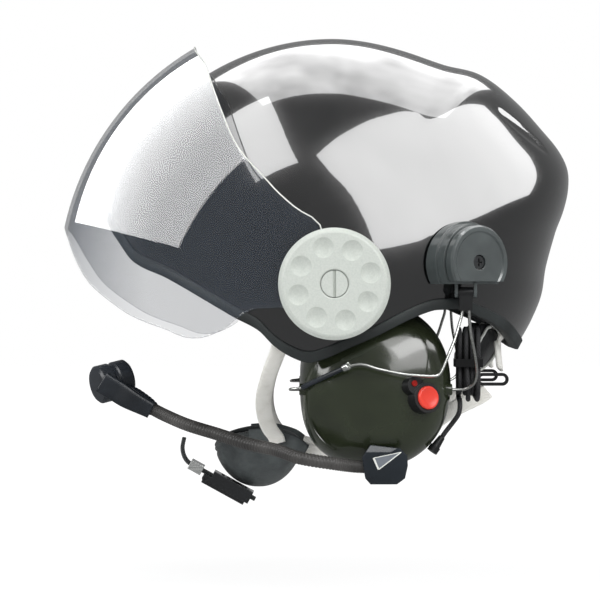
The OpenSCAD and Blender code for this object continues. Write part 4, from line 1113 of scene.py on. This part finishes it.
def make_chin_cup():
    columns, rows = 144, 36
    rings = []
    for i in range(columns):
        a = 360 * i / columns
        outer, inner = [], []
        for j in range(1, rows + 1):
            e = -90 + (90 + chin_lip(a)) * j / rows
            below = (chin_lip(a) - e) / 5
            pinch = groove(below - 1.35, 0.35, 0.8) + (0.8 if below < 0.4 else 0)
            channel = groove((a + 15) % 30 - 15, 1.6, 0.9) * smooth_step((j - 6) / 8)
            outer.append(chin_point(a, e, -0.15 - pinch))
            inner.append(chin_point(a, e, -CHIN_WALL + 0.2 + pinch + channel))
        rings.append(outer + inner[::-1])
    cup = skin("chin_bowl", rings, closed=True)
    face_outward(cup.data, columns)
    settle(cup, "helmet", "chin_cup", "chin_cup")
    lip = [chin_point(5 * i, chin_lip(5 * i) + 0.6, -CHIN_WALL / 2) for i in range(73)]
    binding = round_tube("chin_binding", smooth_route(lip, 2), 2.1, 14)
    settle(binding, "helmet", "tab_web")
    left = flat_band("left_chin_wing", smooth_route(WING, 8), (0.2, 1, 0.1), 13, WING_T - 0.2, 24, 4,
                     lambda s: (1 - 0.25 * smooth_step((s - 0.75) * 4), 1))
    settle_pair(left, "helmet", "chin_cup")


def in_shell(x, z, off):
    return Vector((x, off - form_y(x, z, 0), z))


def inside_edge(mm):
    phi, off = 158, -STRAP_IN
    return form_point(phi, lifted(edge_psi(phi, SHELL_EDGE, off), mm, phi, off), off)


RING_C = Vector((99.5, -50.5, NAPE_Z - 18))
RING_H = 8


def make_straps():
    front = [in_shell(-31, -20, SHELL_WALL + 4 * GAP + STRAP_T / 2), in_shell(-31.5, -27, STRAP_IN + 1.2),
             in_shell(-32.5, -34, STRAP_IN + 1.3), in_shell(-34, -41, STRAP_IN + 1.6),
             (-38.5, -95, -53), (-42, -81, -65), (-43, -71.5, -73.5), (-42, -62.5, -82),
             (-39.3, -55, -89.5), WING[2] + Vector((0.4, -WING_T / 2 - ON_CUP - 0.6, 2)),
             WING[2] + Vector((1.6, -WING_T / 2 - ON_CUP, -2))]
    upper = [inside_edge(3.5), inside_edge(0), inside_edge(-4), inside_edge(-8),
             RING_C + Vector((4.5, 0, RING_H / 2 + 2.7))]
    lower = [RING_C - Vector((3.5, 0, RING_H / 2 + 3.3)), (91.5, -52, -69.5), (74, -55.2, -78),
             (58, -55.8, -88.5), (38, -54.8, -98), (16, -50.7, -104.5), (0, -46.8, -106),
             WING[4] + Vector((7, WING_T / 2 + ON_CUP + 0.2, -1)),
             WING[4] + Vector((-2, WING_T / 2 + ON_CUP + 0.2, 1.5))]
    for name, route, up, width, node in (
            ("front_strap_web", front, (0.1, -0.6, -0.6), STRAP_W, "front_strap"),
            ("rear_strap_upper_web", upper, (1, -0.4, 0.3), STRAP_W * 0.8, "rear_strap"),
            ("rear_strap_lower_web", lower, (0.2, 1, 0.1), STRAP_W, "rear_strap")):
        left = flat_band(f"left_{name}", smooth_route(route, 10), up, width, 2.6)
        settle_pair(left, "helmet", "white_strap", f"left_{node}")


BUCKLE_AT = Vector((-64, -20, -127.7))
BUCKLE_TURN = Matrix.Rotation(math.radians(28.8), 3, "Y")
TAB_LINE = [(17, 0.3), (9, 0.3), (0, 0.3), (-9, 0.3), (-18, 0.3), (-25, 0.3), (-31, 0.4),
            (-35.5, 2.6), (-39, 6.8), (-41, 12.8)]


def in_buckle(x, y, z):
    return BUCKLE_AT + BUCKLE_TURN @ Vector((x, y, z))


def make_tab():
    tab = flat_band("tab_web", smooth_route([in_buckle(x, 0, z) for x, z in TAB_LINE], 8),
                    BUCKLE_TURN @ Vector((0, 0, 1)), 14, 2.6)
    settle(tab, "helmet", "tab_web", "strap_tab")


make_chin_cup()
make_straps()
make_tab()


# Talk button and microphone boom

BUTTON_R, BUTTON_FLOOR, BUTTON_TRAVEL, BUTTON_CLEAR, BUTTON_TOP = 7, 3.4, 1.5, 0.8, 10.5
BUTTON_AT, BUTTON_TURN = Vector((26.5, -12, 29.2 + CUP_BASE)), Matrix.Rotation(math.radians(30), 3, "Y")


def in_button(x, y, z):
    return cup_place(*(BUTTON_AT + BUTTON_TURN @ Vector((x, y, z))))


def make_button():
    foot = BUTTON_FLOOR + BUTTON_TRAVEL + BUTTON_CLEAR
    top, r = BUTTON_TOP - foot, BUTTON_R
    button = lathe("talk_button_cap", in_button(0, 0, foot), in_button(0, 0, 1) - in_button(0, 0, 0),
                   [(0.05, 0), (r - 1.4, 0), (r, 1.4),
                    (r, top - 0.9), (r - 0.3, top - 0.3), (r - 0.9, top),
                    (r - 1.5, top - 0.15), (r - 2.2, top - 0.5), (3, top - 0.75), (0.05, top - 0.8)], 64)
    settle(button, "talk_button", "red_button", "talk_button")


NECK_R = 4
NECK_ROUTE = [(19, -120.5, -109.6), (13, -120.5, -109.4), (1, -119, -108), (-20.5, -113.5, -104.8),
              (-35, -104.5, -100.4), (-53, -92, -97), (-71, -78, -92), (-90, -62, -87),
              (-104.5, -50, -81.5), (-112, -44.5, -78)]
NECK_RIBS = 96
MIC_C = Vector((-139, -27, -61))
MIC_ARM = [(-144.5, -44.8, -60.8), (-136, -45, -66), (-126, -45.5, -72), (-113.5, -44.8, -78.5)]
FACET = [(26.5, -111), (23.5, -104.1), (40, -100.7)]


def make_boom():
    path = smooth_route(NECK_ROUTE, 96)
    ribs = round_tube("gooseneck_ribs", path,
                      lambda s: NECK_R - 0.42 * abs(math.sin(math.pi * NECK_RIBS * s))**6, 24)
    settle(ribs, "boom", "gooseneck", "boom_gooseneck")
    end = path[-1]
    way = (MIC_C - end).normalized()
    foot, reach = end + way, MIC_C - way * 14.5
    shape = [(0, 4.6), (0.25, 5.4), (0.8, 5.6), (1, 4.5)]
    sleeve = round_tube("mic_sleeve", [foot.lerp(reach, i / 40) for i in range(41)],
                        lambda s: along_curve(shape, s) - 0.35 * (0.5 - 0.5 * math.cos(s * 44))**4, 36)
    settle(sleeve, "boom", "mic", "mic_neck")
    arm = flat_band("mic_arm", smooth_route(MIC_ARM, 10), (0, 1, 0), 13.5, 5.5, 32, 7,
                    lambda s: (mix(1, 0.78, smooth_step((s - 0.5) * 2)),
                               mix(1, 1.7, smooth_step((s - 0.3) * 2))))
    settle(arm, "boom", "mic")


def on_block(x, z, above):
    """A point over the outer side of the boom block."""
    block = nodes["boom_block"]
    home = block.matrix_world.inverted()
    start, way = home @ (Vector((x, -200, z)) * MM), home.to_3x3() @ OUT_LEFT
    place = block.matrix_world @ block.ray_cast(start, -way)[1] / MM
    return place + OUT_LEFT * above


def make_facet():
    """A pale plate on the bevelled facet of the boom block, a painted highlight, and pale tubes along its
    edges, painted highlights too.
    """
    corners = [Vector(q) for q in FACET]
    n = 10
    rows = [[corners[0].lerp(corners[1], i / n).lerp(corners[0].lerp(corners[2], i / n), k / n)
             for k in range(n + 1)] for i in range(n, 0, -1)]
    layers = [[on_block(q.x, q.y, h) for row in rows for q in row] for h in (-0.2, 0.12)]
    m, count = n + 1, n * (n + 1)
    faces = []
    for i in range(n - 1):
        for k in range(n):
            quad = (i*m + k, i*m + k + 1, (i + 1)*m + k + 1, (i + 1)*m + k)
            faces += [quad, tuple(count + q for q in quad[::-1])]
    plate = link_mesh("boom_facet", layers[0] + layers[1], faces)
    settle(plate, "boom", "boom_plastic", finish="boom_facet")
    # Pale tubes along the facet's edges: painted highlights.
    for i, thick in enumerate((0.6, 0.25, 0.35)):
        a, b = corners[i], corners[(i + 1) % 3]
        route = [on_block(*a.lerp(b, t), 0.1) for t in span(0, 1, 12)]
        settle(round_tube(f"boom_facet_edge_{i}", route, thick, 8), "boom", "boom_plastic",
               finish="piping_and_highlight")


make_button()
make_boom()
make_facet()


# Finishes of the solids that stay as packed

for name, obj in nodes.items():
    paint(obj, slot_of[name])
for name, slot in (("left_pivot_screw", "knob"), ("right_pivot_screw", "knob"),
                   ("buckle_lever", "gloss_black"), ("buckle_body", "gloss_black"),
                   ("buckle_frame", "bright_metal")):
    paint(nodes[name], slot)
paint(cable, "cable")


# Floor, light and background

FLOOR_Z, FLOOR_SIZE = -0.187, 12
GLOW = 1.1
FADE_FROM, FADE_TO, LEAST_FADE = 0.35, 1.4, 0.82
GLOSS_SEES = 0.2
ROOM_LEVEL, DIFFUSE_LEVEL = 0.07, 0.45
PANEL_AWAY = 1.5


def make_floor():
    """A pale floor that glows for the camera, a little less near the object, which paints a faint shade
    round the object where its real shadow also lies.
    """
    bpy.ops.mesh.primitive_plane_add(size=FLOOR_SIZE, location=(0, 0, FLOOR_Z))
    floor = bpy.context.object
    floor.name = "floor"
    f = Finish("pale_floor", 0.9, Base_Color=(0.86, 0.86, 0.86, 1))
    f.relief(f.noise(400, 3), 0.0002, 0.2)
    glow = f.add("Emission", {"Color": (1, 1, 1, 1), "Strength": GLOW}).outputs[0]
    away = f.add("VectorMath", {0: f.place}, operation="LENGTH").outputs["Value"]
    # The glow is weaker near the object, which paints a faint shade on the floor round it, over its real
    # shadow.
    fade = f.spread(away, LEAST_FADE, 1, FADE_FROM, FADE_TO)
    seen = f.math("MULTIPLY", f.seen_white(GLOSS_SEES), fade)
    both = f.add("MixShader", {0: seen, 1: f.shader.outputs[0], 2: glow}).outputs[0]
    f.tree.links.new(both, f.tree.nodes["Material Output"].inputs["Surface"])
    floor.data.materials.append(f.material)
    floor.visible_glossy = False


def make_world():
    """White where the camera looks past the object or through it, part of that white in its gloss,
    and dim everywhere else."""
    world = bpy.data.worlds.new("studio")
    scene.world = world
    world.use_nodes = True
    g = Graph(world.node_tree)
    diffuse = g.add("LightPath").outputs["Is Diffuse Ray"]
    dim = g.tree.nodes["Background"]
    dim.inputs["Color"].default_value = (0.94, 0.97, 1, 1)
    g.tree.links.new(g.spread(diffuse, ROOM_LEVEL, DIFFUSE_LEVEL), dim.inputs["Strength"])
    white = g.add("Background", {"Color": (1, 1, 1, 1)}).outputs[0]
    both = g.add("MixShader", {0: g.seen_white(GLOSS_SEES), 1: dim.outputs[0], 2: white}).outputs[0]
    g.tree.links.new(both, g.tree.nodes["World Output"].inputs["Surface"])


def area_light(name, place, target, width, height, power, pieces):
    """A rectangular light that only the given pieces receive."""
    data = bpy.data.lights.new(name, "AREA")
    data.shape, data.size, data.size_y, data.energy = "RECTANGLE", width, height, power
    light = bpy.data.objects.new(name, data)
    light.location = place
    light.rotation_euler = (Vector(target) - Vector(place)).to_track_quat("-Z", "Y").to_euler()
    scene.collection.objects.link(light)
    lit = bpy.data.collections.new(f"{name}_lights")
    for piece in pieces:
        lit.objects.link(piece)
    light.light_linking.receiver_collection = lit
    return light


def reflected_panel(name, around, up, half_w, half_h, level, pieces, upright=(0, 0, 1)):
    """A pale studio panel that shows only in the gloss of the named pieces. Angles are in degrees:
    around from the camera's side to the rear, up from level, and half the panel's width and height."""
    a, b = math.radians(around), math.radians(up)
    back = Vector((math.sin(a) * math.cos(b), -math.cos(a) * math.cos(b), math.sin(b)))
    w, h = (2 * PANEL_AWAY * math.tan(math.radians(k)) for k in (half_w, half_h))
    light = area_light(name, PANEL_AWAY * back, (0, 0, 0), w, h, level * math.pi * w * h, pieces)
    right = Vector(upright).cross(back).normalized()
    light.rotation_euler = Matrix((right, back.cross(right), back)).transposed().to_euler()
    light.visible_diffuse = False
    return light


def cloud(light, across, along, low, high):
    """Uneven brightness over a panel, from noise stretched across and along it."""
    light.data.use_nodes = True
    g = Graph(light.data.node_tree)
    place = g.stretched(across, along, 1, g.add("NewGeometry").outputs["Parametric"])
    level = g.spread(g.noise(1, 2, place=place), low, high, 0.3, 0.7)
    g.tree.links.new(level, g.tree.nodes["Emission"].inputs["Strength"])


def make_lights():
    """Soft light on all but the shell and the visor, and the panels that each glossy piece reflects."""
    pieces = {o.name: o for o in scene.objects if o.type == "MESH"}
    shell, visor = pieces["shell_skin"], pieces["visor_skin"]
    dull = [o for o in pieces.values() if o not in (shell, visor)]
    mounts = [nodes[n] for n in ("left_muff_mount", "left_mount_cap",
                                 "right_muff_mount", "right_mount_cap")]
    cups = [pieces["left_cup_skin"], pieces["right_cup_skin"]]
    bright = MATERIALS["bright_metal"], MATERIALS["spring_wire"]
    metal = [o for o in dull if o.material_slots and o.material_slots[0].material in bright]
    bevelled = [nodes[n] for n in ("buckle_lever", "buckle_body", "boom_block", "mic_capsule",
                                   "button_housing")] + [pieces["mic_arm"]]
    area_light("key", (1.1, -1.5, 1.15), (0.05, 0, 0.05), 1.9, 1.0, 26, dull)
    area_light("fill", (-1.5, -1.0, 0.75), (-0.1, 0, 0), 1.0, 0.7, 13, dull)
    area_light("top", (-0.15, -0.25, 1.5), (0, 0, 0), 0.9, 0.35, 9, dull)
    side = reflected_panel("side_panel", 54, 39, 41, 28, 5.0, [shell] + mounts)
    cloud(side, 5, 1.2, 0.93, 1.02)
    ceiling = reflected_panel("ceiling_panel", 172, 69, 27, 29, 3.9, [shell] + mounts, (0, 1, 0))
    cloud(ceiling, 4, 2.2, 0.55, 1.15)
    reflected_panel("front_panel", -45, 55, 8, 21, 4.8, [shell], (0, 1, 0))
    reflected_panel("visor_panel", -91, 41, 48, 27, 11, [visor])
    reflected_panel("cup_panel", 60, 37, 40, 6, 4.2, cups)
    reflected_panel("metal_panel", 20, 40, 40, 12, 1.6, metal)
    reflected_panel("front_glow", 2, 7, 16, 12, 0.75, metal)
    reflected_panel("edge_panel", -25, 50, 26, 18, 4.6, bevelled)


make_floor()
make_world()
make_lights()
scene.view_settings.view_transform = "Standard"
